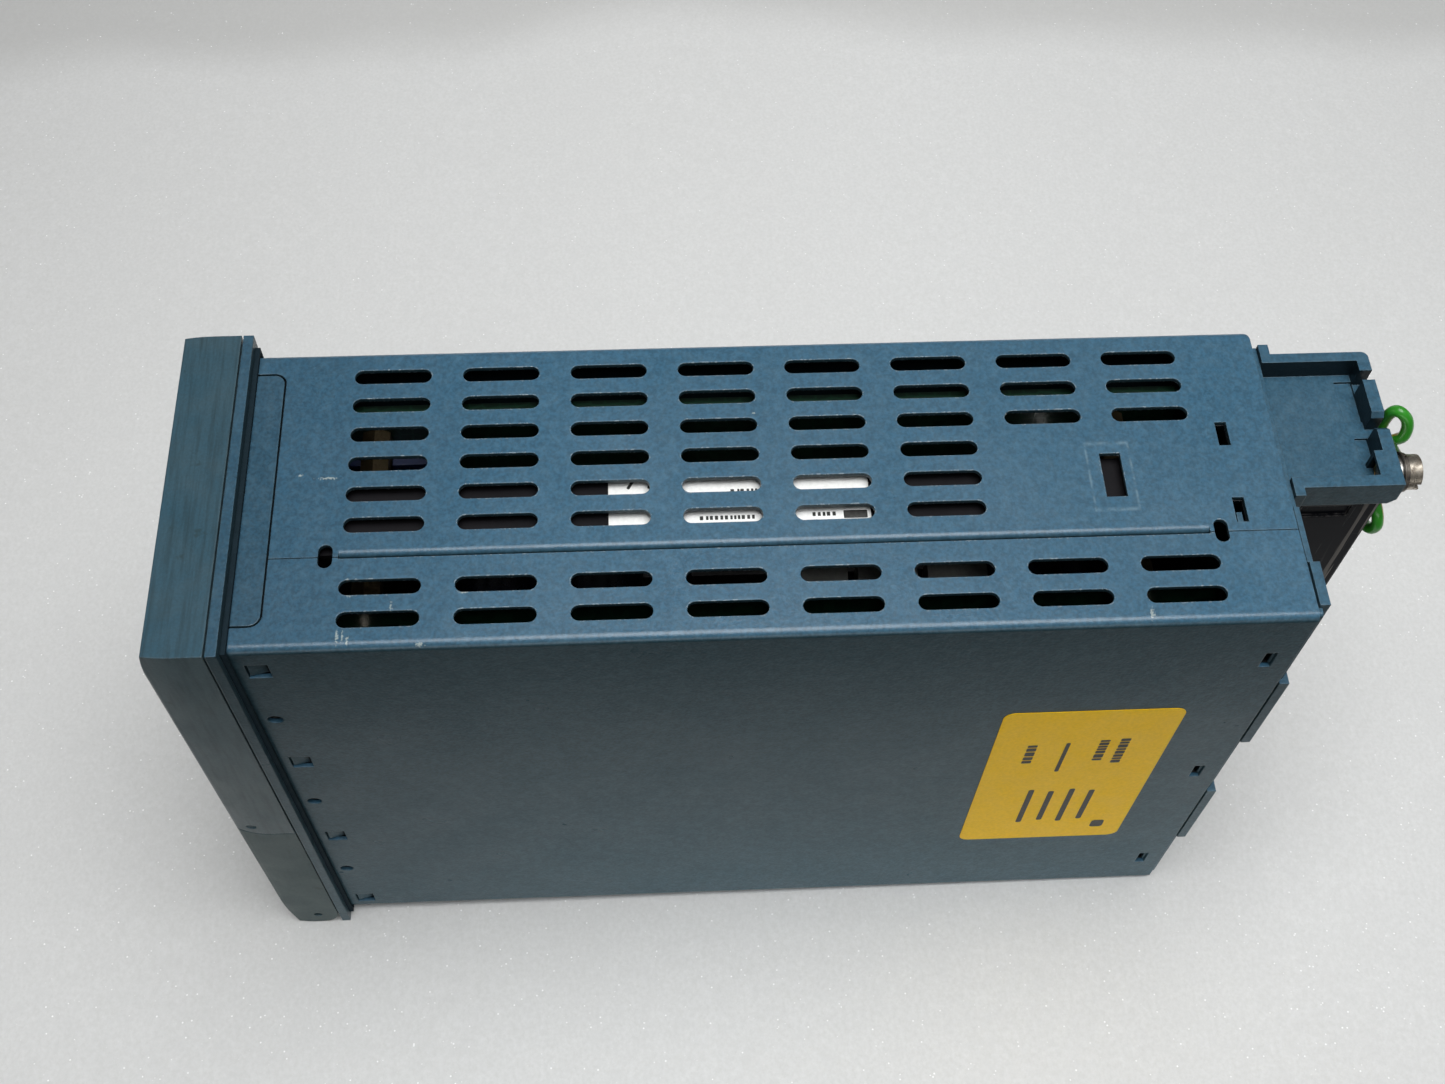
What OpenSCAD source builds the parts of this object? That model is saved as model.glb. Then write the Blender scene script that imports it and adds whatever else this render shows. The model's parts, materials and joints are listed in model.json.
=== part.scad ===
// Panel instrument for a 68 x 138 mm cut-out: a plug-in mains-powered controller in its sleeve.
// The origin is the centre of the panel cut-out, in the plane where the front seal meets the panel.
// X is across the front, +Y runs back through the panel and +Z is up. All sizes are in millimetres.

/* [Front] */
// Width of the front bezel
bezel_w = 72; // [71:0.5:73]
// Height of the front bezel
bezel_h = 144; // [143:0.5:145]
// Depth of the fascia moulding in front of its flange
fascia_d = 12.9; // [12:0.1:14]
// Height of the seam between the fascia and the flap, from the centre
seam_z = -12.7; // [-14:0.1:-11]
// Travel of a key
key_travel = 0.8; // [0.4:0.1:0.8]

/* [Sleeve] */
// Outside width of the sleeve
sleeve_w = 67; // [66.6:0.1:67.4]
// Outside height of the sleeve
sleeve_h = 137.8; // [137:0.1:138]
// Length of the sleeve behind the panel's front face
sleeve_l = 200.4; // [200:0.2:202]
// Thickness of the sleeve's sheet
sheet_t = 1.0; // [0.8:0.1:1.2]
// Distance of the sheet seam from the centre line
seam_x = 14.2; // [13.8:0.1:14.6]

/* [Vents] */
// Length of one vent slot
slot_l = 15.2; // [12:0.2:16]
// Width of one vent slot
slot_w = 3.3; // [2:0.1:4]
// Spacing of the slots along the sleeve
slot_pitch_y = 21.4; // [20:0.1:21.5]
// Spacing of the slot rows across the sleeve
slot_pitch_x = 6.9; // [6:0.1:7]

/* [Rear] */
// Width of the tray over the terminals
tray_w = 32.3; // [30:0.1:33]
// Depth of the tray behind the sleeve
tray_d = 23; // [20:0.5:24]
// Height of the tray's walls
tray_h = 6.7; // [6:0.1:7]
// Diameter of the earth wire
wire_d = 2.4; // [2:0.1:2.4]

/* [Hidden] */
$fn = 48;
E = 0.01;
flange_t = 2;
gasket_t = 1;
flange_y = -gasket_t - flange_t;
front_y = flange_y - fascia_d;
bend_r = 1.6;
wall = 2;

// The drawer that slides out clears the collar by this much on each side
collar_t = 1.6;
fit_gap = 0.1;
inner_w = sleeve_w - 2 * sheet_t;
inner_h = sleeve_h - 2 * sheet_t;
throat_w = inner_w - 2 * fit_gap - 2 * collar_t;
throat_h = inner_h - 2 * fit_gap - 2 * collar_t;
collar_l = 12;

// Vents: rows counted from the left edge, and the two rows on the right of the seam
slot_y0 = 26.7;
slot_cols = 8;
slot_x0 = -27.2;
right_rows = [20.8, 27.6];
short_row_first = 3;
short_row_cols = 6;

// Snap windows and locating holes down each side, at the front
clip_pitch = 41.2;
clip_dz = -1;
clip_y = 4;
clip_win = [4.3, 5.2];
locating_r = 1.55;
locating_y = 2.9;

// Snap windows at the rear
rear_win_y = 195.4;
rear_win_t = 2.3;
rear_win_z = [52.2, -1.4, -54.6];
rear_win_x = [-8.2, 9.4];

// Flap hinge: as far above the bezel's underside as it is in front of the flange
flap_r = 4.8;
pivot_y = flange_y - 5.1;
pivot_z = -bezel_h / 2 + 5.1;
pin_r = 1.0;
pin_clear = 0.05;
flap_gap = 0.35;

// Boards inside the drawer
board_t = 1.6;
board_h = 129;
board_y0 = 5;
board_y1 = 186;
finger_h = 80;
finger_y1 = 193;
main_x = -23.3;
power_x = 22;
rail_x = [-5, 12];
rail_z = 64.9;

// Rear assembly
rear_face_y = sleeve_l + 1.2;
lip_y0 = sleeve_l + 0.5;
lip_y1 = sleeve_l + 2.5;
top_z = sleeve_h / 2;
tray_x1 = 4.9;
tray_x0 = tray_x1 - tray_w;
tray_y1 = sleeve_l + 0.3 + tray_d;
tray_floor = 1.8;
tray_wall = 2.2;
rear_wall_t = 2.6;
insert_y0 = tray_y1 - rear_wall_t - 0.6;
cover_x = [-27, 4];
cover_y1 = 221.5;
cover_z = [-62, top_z - tray_h - 0.1];
cover_t = 1.5;
cover_screw_z = [-55.8, 55.8];
earth_x = -0.2;
earth_z = top_z - 3.4;
earth_r = 1.75;
insert_r = 2.35;
lug_turn = -20.5;
tray_foot_y = [rear_face_y + 0.05, rear_face_y + 2.1];
wire_slot_x = -10.4;

// Keys: two columns of three
key_x = [7.5, 22.5];
key_z = [34, 22, 10];
key_size = [10.6, 7.6];
KEYS = ["key_1", "key_2", "key_3", "key_4", "key_5", "key_6"];

// ---------- helpers ----------

// A box given by its ranges along x, y and z
module box(x, y, z) {
    translate([x[0], y[0], z[0]]) cube([x[1] - x[0], y[1] - y[0], z[1] - z[0]]);
}

// A box centred on the x and z axes, between two y planes
module plate(w, h, y) { box([-w / 2, w / 2], y, [-h / 2, h / 2]); }

// A plate that fits inside the sleeve
module inner_plate(y) { along_y(y) round_rect(inner_w - 2 * fit_gap, inner_h - 2 * fit_gap, 0.8); }

// A rectangle with true round corners
module round_rect(w, h, r) {
    square([w - 2 * r, h], center = true);
    square([w, h - 2 * r], center = true);
    for (sx = [-1, 1], sy = [-1, 1])
        translate([sx * (w / 2 - r), sy * (h / 2 - r)]) circle(r);
}

// Extrudes a profile drawn in x and z along y, from y[0] to y[1]
module along_y(y) {
    translate([0, y[1], 0]) rotate([90, 0, 0]) linear_extrude(y[1] - y[0]) children();
}

// Extrudes a profile drawn in y and z along x, from x[0] to x[1]
module along_x(x) {
    translate([x[0], 0, 0]) rotate([90, 0, 90]) linear_extrude(x[1] - x[0]) children();
}

// A rod along one axis
module rod_x(x, y, z, r) { translate([x[0], y, z]) rotate([0, 90, 0]) cylinder(h = x[1] - x[0], r = r); }
module rod_y(x, y, z, r) { translate([x, y[0], z]) rotate([-90, 0, 0]) cylinder(h = y[1] - y[0], r = r); }

// A round-ended slot through a level sheet, its length along y or along x
module slot_y(x, y, length, w, z) {
    for (s = [-1, 1]) translate([x, y + s * (length - w) / 2, z[0]]) cylinder(h = z[1] - z[0], r = w / 2);
    box([x - w / 2, x + w / 2], [y - (length - w) / 2, y + (length - w) / 2], z);
}
module slot_x(x, y, length, w, z) {
    for (s = [-1, 1]) translate([x + s * (length - w) / 2, y, z[0]]) cylinder(h = z[1] - z[0], r = w / 2);
    box([x - (length - w) / 2, x + (length - w) / 2], [y - w / 2, y + w / 2], z);
}

// Points of an arc, for outlines
function arc(c, r, a0, a1, n = 8) = [for (i = [0:n]) let (a = a0 + (a1 - a0) * i / n) c + r * [cos(a), sin(a)]];

// Repeats its children on the top and, mirrored, on the bottom
module top_and_bottom() { children(); mirror([0, 0, 1]) children(); }
module both_sides() { children(); mirror([1, 0, 0]) children(); }

// ---------- sleeve ----------

module sleeve_tube() {
    along_y([-gasket_t, sleeve_l]) difference() {
        round_rect(sleeve_w, sleeve_h, bend_r);
        round_rect(inner_w, inner_h, bend_r - sheet_t);
    }
}

top_cut = [top_z - 3 * sheet_t, top_z + 1];

module vent_rows(rows, cols) {
    for (x = rows, i = [0:cols - 1]) slot_y(x, slot_y0 + i * slot_pitch_y, slot_l, slot_w, top_cut);
}

module sleeve_openings() {
    top_and_bottom() {
        // tongue of the front frame
        box([-26.1, 26.1], [-gasket_t - 1, 5.7], top_cut);
        box([-28.6, 28.6], [-gasket_t - 1, 3.2], top_cut);
        for (s = [-1, 1]) translate([s * 26.1, 3.2, top_cut[0]]) cylinder(h = 4, r = 2.5);
        // panel clamp window and rear snap windows
        box([-4.3, 5.7], [164.9, 169], top_cut);
        for (x = rear_win_x) box([x - 2.75, x + 2.75], [rear_win_y - 6.4, rear_win_y - 4.1], top_cut);
        // reliefs at both ends of the folded seam
        for (y = [16.2, 185.6]) slot_x(seam_x - 0.2, y, 5, 2.7, top_cut);
    }
    both_sides() {
        for (i = [0:3])
            box([sleeve_w / 2 - 3, sleeve_w / 2 + 1], [clip_y - clip_win[0] / 2, clip_y + clip_win[0] / 2],
                [clip_dz + (1.5 - i) * clip_pitch - clip_win[1] / 2, clip_dz + (1.5 - i) * clip_pitch + clip_win[1] / 2]);
        for (i = [-1:1]) rod_x([sleeve_w / 2 - 3, sleeve_w / 2 + 1], locating_y, clip_dz + i * clip_pitch, locating_r);
        for (z = rear_win_z)
            box([sleeve_w / 2 - 3, sleeve_w / 2 + 1], [rear_win_y - rear_win_t / 2, rear_win_y + rear_win_t / 2], [z - 2.9, z + 2.9]);
    }
}

fold_y = [18.6, 183.4];
fold_r = 1.3;
fold_depth = 4.5;

// The left shell folds down along the seam, which leaves a rounded ridge
module seam_fold() {
    along_y(fold_y) translate([seam_x - 0.25 - fold_r, top_z - fold_r]) {
        difference() {
            intersection() { circle(fold_r); square(fold_r + 1); }
            circle(fold_r - sheet_t);
        }
        translate([fold_r - sheet_t, fold_r - fold_depth]) square([sheet_t, fold_depth - fold_r]);
    }
}

module sleeve_left_shell() {
    color([0.25, 0.38, 0.46]) {
        difference() {
            sleeve_tube();
            box([seam_x - 0.08, 60], [-9, 300], [-99, 99]);
            top_and_bottom() {
                box([seam_x - 0.25 - fold_r, seam_x], fold_y, top_cut);
                vent_rows([for (j = [0:short_row_first - 1]) slot_x0 + j * slot_pitch_x], slot_cols);
                vent_rows([for (j = [short_row_first:5]) slot_x0 + j * slot_pitch_x], short_row_cols);
                // rounded rear corner of the sheet
                difference() {
                    box([-sleeve_w / 2 - 1, -sleeve_w / 2 + 2.4], [sleeve_l - 2.4, sleeve_l + 1], top_cut);
                    translate([-sleeve_w / 2 + 2.4, sleeve_l - 2.4, top_cut[0] - 1]) cylinder(h = 9, r = 2.4);
                }
            }
            sleeve_openings();
        }
        top_and_bottom() seam_fold();
    }
}

module sleeve_right_shell() {
    color([0.25, 0.38, 0.46]) {
        difference() {
            sleeve_tube();
            box([-60, seam_x + 0.08], [-9, 300], [-99, 99]);
            top_and_bottom() vent_rows(right_rows, slot_cols);
            sleeve_openings();
            top_and_bottom() box([seam_x, seam_x + 0.35], fold_y, top_cut);
        }
        top_and_bottom() box([seam_x + 0.35, seam_x + 0.35 + sheet_t], fold_y, [top_z - fold_depth, top_z - sheet_t]);
    }
}

module rating_label() {
    color([0.85, 0.65, 0.1]) translate([sleeve_w / 2, 166.3, -3]) rotate([90, 0, 90])
        linear_extrude(0.15) round_rect(37.6, 69.5, 2.5);
}

// ---------- front of the sleeve ----------

module front_frame() {
    color([0.22, 0.34, 0.42]) {
        difference() {
            union() {
                plate(bezel_w, bezel_h, [flange_y, -gasket_t]);
                inner_plate([-gasket_t - E, collar_l]);
            }
            plate(throat_w, throat_h, [flange_y - 1, collar_l + 1]);
            // holes behind the round ones in the sleeve
            both_sides() for (i = [-1:1]) rod_x([throat_w / 2 - 1, 40], locating_y, clip_dz + i * clip_pitch, locating_r - 0.1);
        }
        // tongues flush with the sheet, top and bottom
        top_and_bottom() {
            tongue_z = [inner_h / 2 - fit_gap - E, top_z - 0.05];
            box([-26.1, 26.1], [-gasket_t - E, 5.3], tongue_z);
            box([-28.2, 28.2], [-gasket_t - E, 3.2], tongue_z);
            for (s = [-1, 1]) translate([s * 26.1, 3.2, tongue_z[0]]) cylinder(h = tongue_z[1] - tongue_z[0], r = 2.1);
        }
        // snap wedges on both sides
        both_sides() {
            x0 = inner_w / 2 - fit_gap - E;
            for (i = [0:3]) translate([0, 0, clip_dz + (1.5 - i) * clip_pitch - 2])
                linear_extrude(4.3) polygon([[x0, clip_y - 1.8], [x0 + 0.85, clip_y - 1.8], [x0 + 0.1, clip_y + 1.4], [x0, clip_y + 1.4]]);
        }
    }
}

module panel_gasket() {
    color([0.05, 0.06, 0.06]) difference() {
        plate(sleeve_w + 2, sleeve_h + 2, [-gasket_t, 0]);
        plate(sleeve_w + 0.4, sleeve_h + 0.4, [-gasket_t - 1, 1]);
    }
}

// ---------- rear of the sleeve ----------

window_x = [-25.6, 2.6];
window_z = [-59, 59];
blank_x = [8, 29];

module rear_panel() {
    color([0.22, 0.34, 0.42]) {
        difference() {
            union() {
                inner_plate([198.2, rear_face_y]);
                // rim behind the sheet, to the right of the tray
                box([9.2, 21.5], [lip_y0 - 0.4, rear_face_y], [inner_h / 2 - 2, top_z]);
                difference() {
                    inner_plate([188.5, 198.3]);
                    plate(inner_w - 2.6, inner_h - 2.6, [188, 199]);
                }
            }
            box(window_x, [190, 210], window_z);
            for (z = [-52, 52]) rod_y((blank_x[0] + blank_x[1]) / 2, [190, 210], z, 1.2);
            // the skirt is open behind the rear windows
            top_and_bottom() for (x = rear_win_x)
                box([x - 2.6, x + 2.6], [rear_win_y - 6.3, rear_win_y - 4.2], [inner_h / 2 - 3, top_z]);
            both_sides() for (z = rear_win_z)
                box([inner_w / 2 - 3, sleeve_w / 2], [rear_win_y - 1.05, rear_win_y + 1.05], [z - 2.75, z + 2.75]);
            // the plate is cut away beside the tray's foot
            top_and_bottom() box([-sleeve_w / 2 - 1, tray_x0 - 2.4], [sleeve_l - 0.6, rear_face_y + 1], [inner_h / 2 - 4, top_z + 1]);
        }
        // lips that stop against the end of the sleeve
        top_and_bottom() box([21.4, 30.8], [lip_y0, lip_y1], [inner_h / 2 - 2, top_z]);
        both_sides() for (s = [-1, 1])
            box([inner_w / 2 - 2, sleeve_w / 2], [lip_y0, lip_y1], [min(s * 13.4, s * 41.4), max(s * 13.4, s * 41.4)]);
        top_and_bottom() box([21.4, 30.8], [rear_face_y - 1.5, lip_y1], [inner_h / 2 - 3.5, inner_h / 2 - 0.5]);
        both_sides() for (s = [-1, 1])
            box([inner_w / 2 - 3.5, inner_w / 2 - 0.5], [rear_face_y - 1.5, lip_y1], [min(s * 13.4, s * 41.4), max(s * 13.4, s * 41.4)]);
        // noses in the rear windows
        both_sides() for (z = rear_win_z)
            box([inner_w / 2 - 1, inner_w / 2 + 0.4], [rear_win_y + 0.6, rear_win_y + 1.08], [z - 2.2, z + 2.2]);
        top_and_bottom() box([rear_win_x[1] + 0.3, rear_win_x[1] + 2.65], [rear_win_y - 6, rear_win_y - 4.9], [inner_h / 2 - 1, inner_h / 2 + 0.4]);
    }
}

module blanking_plate() {
    color([0.2, 0.31, 0.38]) difference() {
        box(blank_x, [rear_face_y, rear_face_y + 1.2], [-58, 58]);
        for (z = [-52, 52]) rod_y((blank_x[0] + blank_x[1]) / 2, [190, 210], z, 1.6);
        for (i = [-2:2]) box([blank_x[0] + 4, blank_x[1] - 4], [rear_face_y + 0.8, rear_face_y + 2], [i * 18 - 5, i * 18 + 5]);
    }
}

// A slotted cheese-head screw along +y: head at the rear end
module slotted_screw(r, length, head_r, head_h) {
    rotate([-90, 0, 0]) difference() {
        union() {
            translate([0, 0, -length]) cylinder(h = length + E, r = r);
            cylinder(h = head_h, r = head_r);
        }
        translate([-head_r - 1, -0.4 * r, head_h * 0.55]) cube([2 * head_r + 2, 0.8 * r, head_h]);
    }
}

module blanking_screws() {
    color([0.7, 0.7, 0.68]) for (z = [-52, 52])
        translate([(blank_x[0] + blank_x[1]) / 2, rear_face_y + 1.2, z]) slotted_screw(1.15, 4, 2.6, 1.5);
}

module cable_tray() {
    z = [top_z - tray_h, top_z];
    rear = [tray_y1 - rear_wall_t, tray_y1];
    boss_x = [earth_x - 3.1, earth_x + 2.6];
    boss_y = rear[0] - 1.8;
    color([0.22, 0.34, 0.42]) difference() {
        union() {
            box([tray_x0 - 2.4, tray_x1 + 1.8], tray_foot_y, z);
            box([tray_x0, tray_x1], [tray_foot_y[1] - 1, tray_y1], [z[0], z[0] + tray_floor]);
            box([tray_x0, tray_x0 + tray_wall], [tray_foot_y[1] - 1, tray_y1], z);
            box([tray_x1 - 2.5, tray_x1], [tray_foot_y[1] - 1, tray_y1], z);
            box([tray_x0, tray_x0 + 4.7], rear, z);
            box([tray_x0 + 7, wire_slot_x - 1.2], rear, z);
            box([wire_slot_x + 1.2, tray_x1], rear, z);
            box(boss_x, [boss_y, rear[0] + 1], z);
        }
        // room above the floor at the mouth, next to the sleeve
        box([tray_x0 + tray_wall, tray_x1 - 2.5], [tray_foot_y[0] - 1, tray_foot_y[1] + 1], [z[0] + tray_floor, z[1] + 1]);
        // bore for the threaded insert, and the pocket in front of it
        rod_y(earth_x, [insert_y0, tray_y1 + 1], earth_z, insert_r + 0.02);
        box([boss_x[0] + 1, boss_x[1]], [boss_y - 1, insert_y0 + E], [z[0] + tray_floor, z[1] - 0.7]);
        // shallow steps in the floor along the rear wall
        box([tray_x0 + 4, wire_slot_x - 3], [rear[0] - 3.6, rear[0]], [z[0] + tray_floor - 0.5, z[1]]);
        box([wire_slot_x + 1, boss_x[0]], [rear[0] - 2.6, rear[0]], [z[0] + tray_floor - 0.5, z[1]]);
        // chamfered top corners of the wire gap
        for (s = [-1, 1]) translate([wire_slot_x + s * 1.2, 0, z[1]]) rotate([0, 45, 0])
            box([-0.7, 0.7], [rear[0] - 1, rear[1] + 1], [-0.7, 0.7]);
        // rounded far corner and chamfered foot of the near one
        difference() {
            box([tray_x0 - 1, tray_x0 + 1.4], [tray_y1 - 1.4, tray_y1 + 1], [z[0] - 1, z[1] + 1]);
            translate([tray_x0 + 1.4, tray_y1 - 1.4, z[0] - 2]) cylinder(h = tray_h + 4, r = 1.4);
        }
        translate([0, tray_y1, z[0]]) rotate([45, 0, 0]) box([tray_x1 - 6, tray_x1 + 1], [-1, 1], [-1, 1]);
    }
}

block_y1 = 212;
screw_cols = [-18.5, -4.5];
screw_rows = 10;
function screw_z(i) = (i - (screw_rows - 1) / 2) * 11.2;

module terminal_block() {
    color([0.1, 0.1, 0.11]) difference() {
        box([window_x[0] + 0.3, window_x[1] - 0.3], [197.25, block_y1], [window_z[0] + 0.5, window_z[1] - 0.5]);
        for (x = screw_cols, i = [0:screw_rows - 1]) {
            rod_y(x, [block_y1 - 4, block_y1 + 1], screw_z(i), 3.3);
            rod_y(x, [block_y1 - 9, block_y1 + 1], screw_z(i), 1.6);
        }
        for (z = cover_screw_z) rod_y(-11.5, [block_y1 - 6, block_y1 + 1], z, 1.32);
    }
}

module terminal_screws() {
    color([0.75, 0.73, 0.6]) for (x = screw_cols, i = [0:screw_rows - 1])
        translate([x, block_y1 - 3, screw_z(i)]) slotted_screw(1.5, 5.5, 2.9, 1.8);
}

module terminal_cover() {
    color([0.03, 0.03, 0.04]) difference() {
        box(cover_x, [rear_face_y + 0.05, cover_y1], cover_z);
        // hollow, open to the front and at the foot, where the cables leave
        box([cover_x[0] + cover_t, cover_x[1] - cover_t], [rear_face_y - 1, cover_y1 - cover_t], [cover_z[0] - 1, cover_z[1] - cover_t]);
        // driver holes over the terminal screws
        for (x = screw_cols, i = [0:screw_rows - 1]) rod_y(x, [cover_y1 - 4, cover_y1 + 1], screw_z(i), 2.4);
        // grooves in both sides, near the top
        for (x = [cover_x[0] - 1, cover_x[1] - 0.6]) {
            box([x, x + 1.6], [206.2, 216.2], [cover_z[1] - 5.6, cover_z[1] - 1.8]);
            box([x, x + 1.6], [rear_face_y - 1, 205.2], [cover_z[1] - 15.5, cover_z[1] - 12.5]);
        }
        // the earth wire's entry
        rod_y(-6, [cover_y1 - 4, cover_y1 + 1], 44.8, wire_d / 2 + 0.2);
        for (z = cover_screw_z) rod_y(-11.5, [cover_y1 - 4, cover_y1 + 1], z, 1.4);
    }
}

module cover_screws() {
    color([0.7, 0.7, 0.68]) for (z = cover_screw_z)
        translate([-11.5, cover_y1, z]) slotted_screw(1.3, 12, 2.4, 1.3);
}

// Earth terminal: screw, spring and plain washers, ring terminal, and the insert in the tray
lug_y = tray_y1;
lug_t = 0.6;
washer_y = lug_y + lug_t + 0.05;
spring_y = washer_y + 0.45;
head_y = spring_y + 0.65;

module earth_screw() {
    color([0.72, 0.68, 0.6]) translate([earth_x, head_y, earth_z]) slotted_screw(earth_r, head_y - tray_y1 + 3, 3.55, 2.6);
}

module earth_washers() {
    color([0.5, 0.47, 0.42]) translate([earth_x, 0, earth_z]) {
        difference() {
            rod_y(0, [washer_y, spring_y - 0.05], 0, 4.1);
            rod_y(0, [washer_y - 1, spring_y + 1], 0, earth_r + 0.1);
        }
        // spring washer with its split
        difference() {
            rod_y(0, [spring_y, head_y - 0.05], 0, 3.9);
            rod_y(0, [spring_y - 1, head_y + 1], 0, earth_r + 0.1);
            rotate([0, -20, 0]) box([-0.3, 0.3], [spring_y - 1, head_y + 1], [1, 5]);
        }
    }
}

module ring_terminal() {
    color([0.75, 0.74, 0.7]) translate([earth_x, lug_y, earth_z]) rotate([0, lug_turn, 0]) difference() {
        union() {
            rod_y(0, [0, lug_t], 0, 3.4);
            box([-5, 0], [0, lug_t], [-1.5, 1.5]);
            rod_x([-9, -4.4], 1.9, 0, 1.7);
        }
        rod_y(0, [-1, 2], 0, earth_r + 0.1);
        rod_x([-10, -4.9], 1.9, 0, wire_d / 2 + 0.02);
    }
}

module earth_insert() {
    color([0.72, 0.6, 0.32]) difference() {
        rod_y(earth_x, [insert_y0 + 0.05, tray_y1 - 0.02], earth_z, insert_r);
        rod_y(earth_x, [insert_y0 - 1, tray_y1 + 1], earth_z, earth_r + 0.03);
    }
}

// The earth wire's route: up behind the tray's rear wall, one loop into the ring terminal;
// the other way it drops behind the cover, makes a small bight and goes in through the cover
WIRE = [
    [-4.8, 225.6, 63.6], [-6.6, 225.6, 62.94], [-8.4, 225.6, 62.3], [-9.9, 226.2, 61.8],
    [-10.2, 227.7, 62.2], [-9.6, 228.5, 64.1], [-10.0, 228.5, 66.7], [-10.7, 227.7, 68.8],
    [-11.6, 226.3, 69.8], [-12.4, 225.5, 69.0], [-12.9, 225.2, 66.7], [-13.0, 225.2, 64.0],
    [-12.4, 224.9, 60.0], [-9.6, 224.3, 57.2], [-5.6, 223.8, 55.6], [-1.8, 223.9, 54.6],
    [0.8, 224.4, 53.2], [1.8, 225.1, 51.0], [2.0, 225.5, 48.8], [1.3, 225.2, 46.8],
    [-0.6, 224.7, 45.5], [-3.2, 224.1, 44.9], [-5.2, 222.7, 44.8], [-6.0, 220.9, 44.8], [-6.0, 220.1, 44.8]];

function unit(v) = v / norm(v);
// Catmull-Rom point between b and c
function spline(a, b, c, d, t) =
    0.5 * (2 * b + (c - a) * t + (2 * a - 5 * b + 4 * c - d) * t * t
        + (3 * b - a - 3 * c + d) * t * t * t);
WIRE_STEPS = 3;
wire_n = len(WIRE);
function wire_at(i) = WIRE[max(0, min(wire_n - 1, i))];
wire_line = [for (i = [0:wire_n - 2], s = [0:WIRE_STEPS - 1])
    spline(wire_at(i - 1), wire_at(i), wire_at(i + 1), wire_at(i + 2), s / WIRE_STEPS), WIRE[wire_n - 1]];

// A tube swept along points: each ring's frame is carried on from the last
module tube(line, r, sides) {
    n = len(line);
    tangents = [for (i = [0:n - 1]) unit(line[min(i + 1, n - 1)] - line[max(i - 1, 0)])];
    function carry(i, last, out) = i == n ? out
        : let (u = i == 0 ? unit(cross(tangents[0], [0, 0, 1])) : unit(last - (last * tangents[i]) * tangents[i]))
          carry(i + 1, u, concat(out, [u]));
    sides_u = carry(0, undef, []);
    points = [for (i = [0:n - 1], k = [0:sides - 1]) let (a = 360 * k / sides, u = sides_u[i], v = cross(tangents[i], u))
        line[i] + r * (cos(a) * u + sin(a) * v)];
    faces = concat(
        [[for (k = [0:sides - 1]) k]],
        [for (i = [0:n - 2], k = [0:sides - 1]) let (a = i * sides + k, b = i * sides + (k + 1) % sides)
            [a, a + sides, b + sides, b]],
        [[for (k = [sides - 1:-1:0]) (n - 1) * sides + k]]);
    polyhedron(points, faces);
}

module earth_wire() { color([0.2, 0.55, 0.15]) tube(wire_line, wire_d / 2, 10); }

module backplane_board() {
    color([0.05, 0.25, 0.12]) plate(inner_w - 3.2, inner_h - 3.2, [195.6, 197.2]);
}

// Card-edge sockets for the two boards
socket_y = [188.6, 195.6];
module backplane_sockets() {
    color([0.1, 0.12, 0.1]) for (x = [main_x, power_x]) difference() {
        box([x + board_t / 2 - 4, x + board_t / 2 + 4], socket_y, [-finger_h / 2 - 4, finger_h / 2 + 4]);
        box([x - 0.25, x + board_t + 0.25], [socket_y[0] - 1, finger_y1 + 0.6], [-finger_h / 2 - 0.3, finger_h / 2 + 0.3]);
    }
}

// Short grooved guides above and below each board, front and rear
module card_guides() {
    color([0.12, 0.12, 0.12]) top_and_bottom() for (x = [main_x, power_x], y = [[12.1, 18.5], [184.6, 188.2]]) difference() {
        box([x + board_t / 2 - 2.6, x + board_t / 2 + 2.6], y, [62.6, inner_h / 2]);
        box([x - 0.25, x + board_t + 0.25], [y[0] - 1, y[1] + 1], [62, board_h / 2 + 0.4]);
    }
}

// ---------- drawer: fascia ----------

// Outline of the fascia and flap from the side, y then z, with a soft top and foot
half_h = bezel_h / 2;
function front_bow(z) = z > half_h - 14 ? 1.4 * pow((z - half_h + 14) / 14, 2)
    : z < -half_h + 22 ? 2.4 * pow((-half_h + 22 - z) / 22, 2) : 0;
side_outline = concat(
    [[flange_y, half_h]],
    [for (i = [0:6]) let (z = half_h - i * 14 / 6) [front_y + front_bow(z), z]],
    [for (i = [0:8]) let (z = -half_h + 22 - i * 22 / 8) [front_y + front_bow(z), z]],
    [[flange_y, -half_h]]);

// Outline of the fascia and flap from above: the sides draw in a little to rounded front corners
side_bow = 0.5;
bow_l = 7;
corner_r = 1.3;
corner_x = bezel_w / 2 - side_bow - corner_r;
half_plan = concat(
    [[bezel_w / 2, flange_y + 1]],
    [for (i = [0:5]) [bezel_w / 2 - side_bow * pow(i / 5, 2), front_y + bow_l - i * (bow_l - corner_r) / 5]],
    [[corner_x, front_y]]);

module front_plan() {
    polygon(concat(half_plan, [for (i = [len(half_plan) - 1:-1:0]) [-half_plan[i][0], half_plan[i][1]]]));
    for (s = [-1, 1]) translate([s * corner_x, front_y + corner_r]) circle(corner_r);
}

module front_body() {
    intersection() {
        along_x([-bezel_w / 2, bezel_w / 2]) polygon(side_outline);
        translate([0, 0, -half_h - 1]) linear_extrude(bezel_h + 2) front_plan();
    }
}

// The seam: round the hinge behind the pivot, and rising to the front ahead of it
seam_r = seam_z - pivot_z;
module below_seam(gap) {
    r = seam_r - gap;
    behind = [for (i = [0:6]) let (y = i) [pivot_y + y, pivot_z + sqrt(r * r - y * y)]];
    ahead = [for (i = [1:8]) let (y = i * 1.1) [pivot_y - y, pivot_z + r + 2.7 * pow(y / 7.8, 2)]];
    along_x([-60, 60]) polygon(concat([[20, -90]], [[20, behind[6][1]]], [for (i = [6:-1:0]) behind[i]], ahead, [[-60, ahead[7][1]], [-60, -90]]));
}

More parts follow.
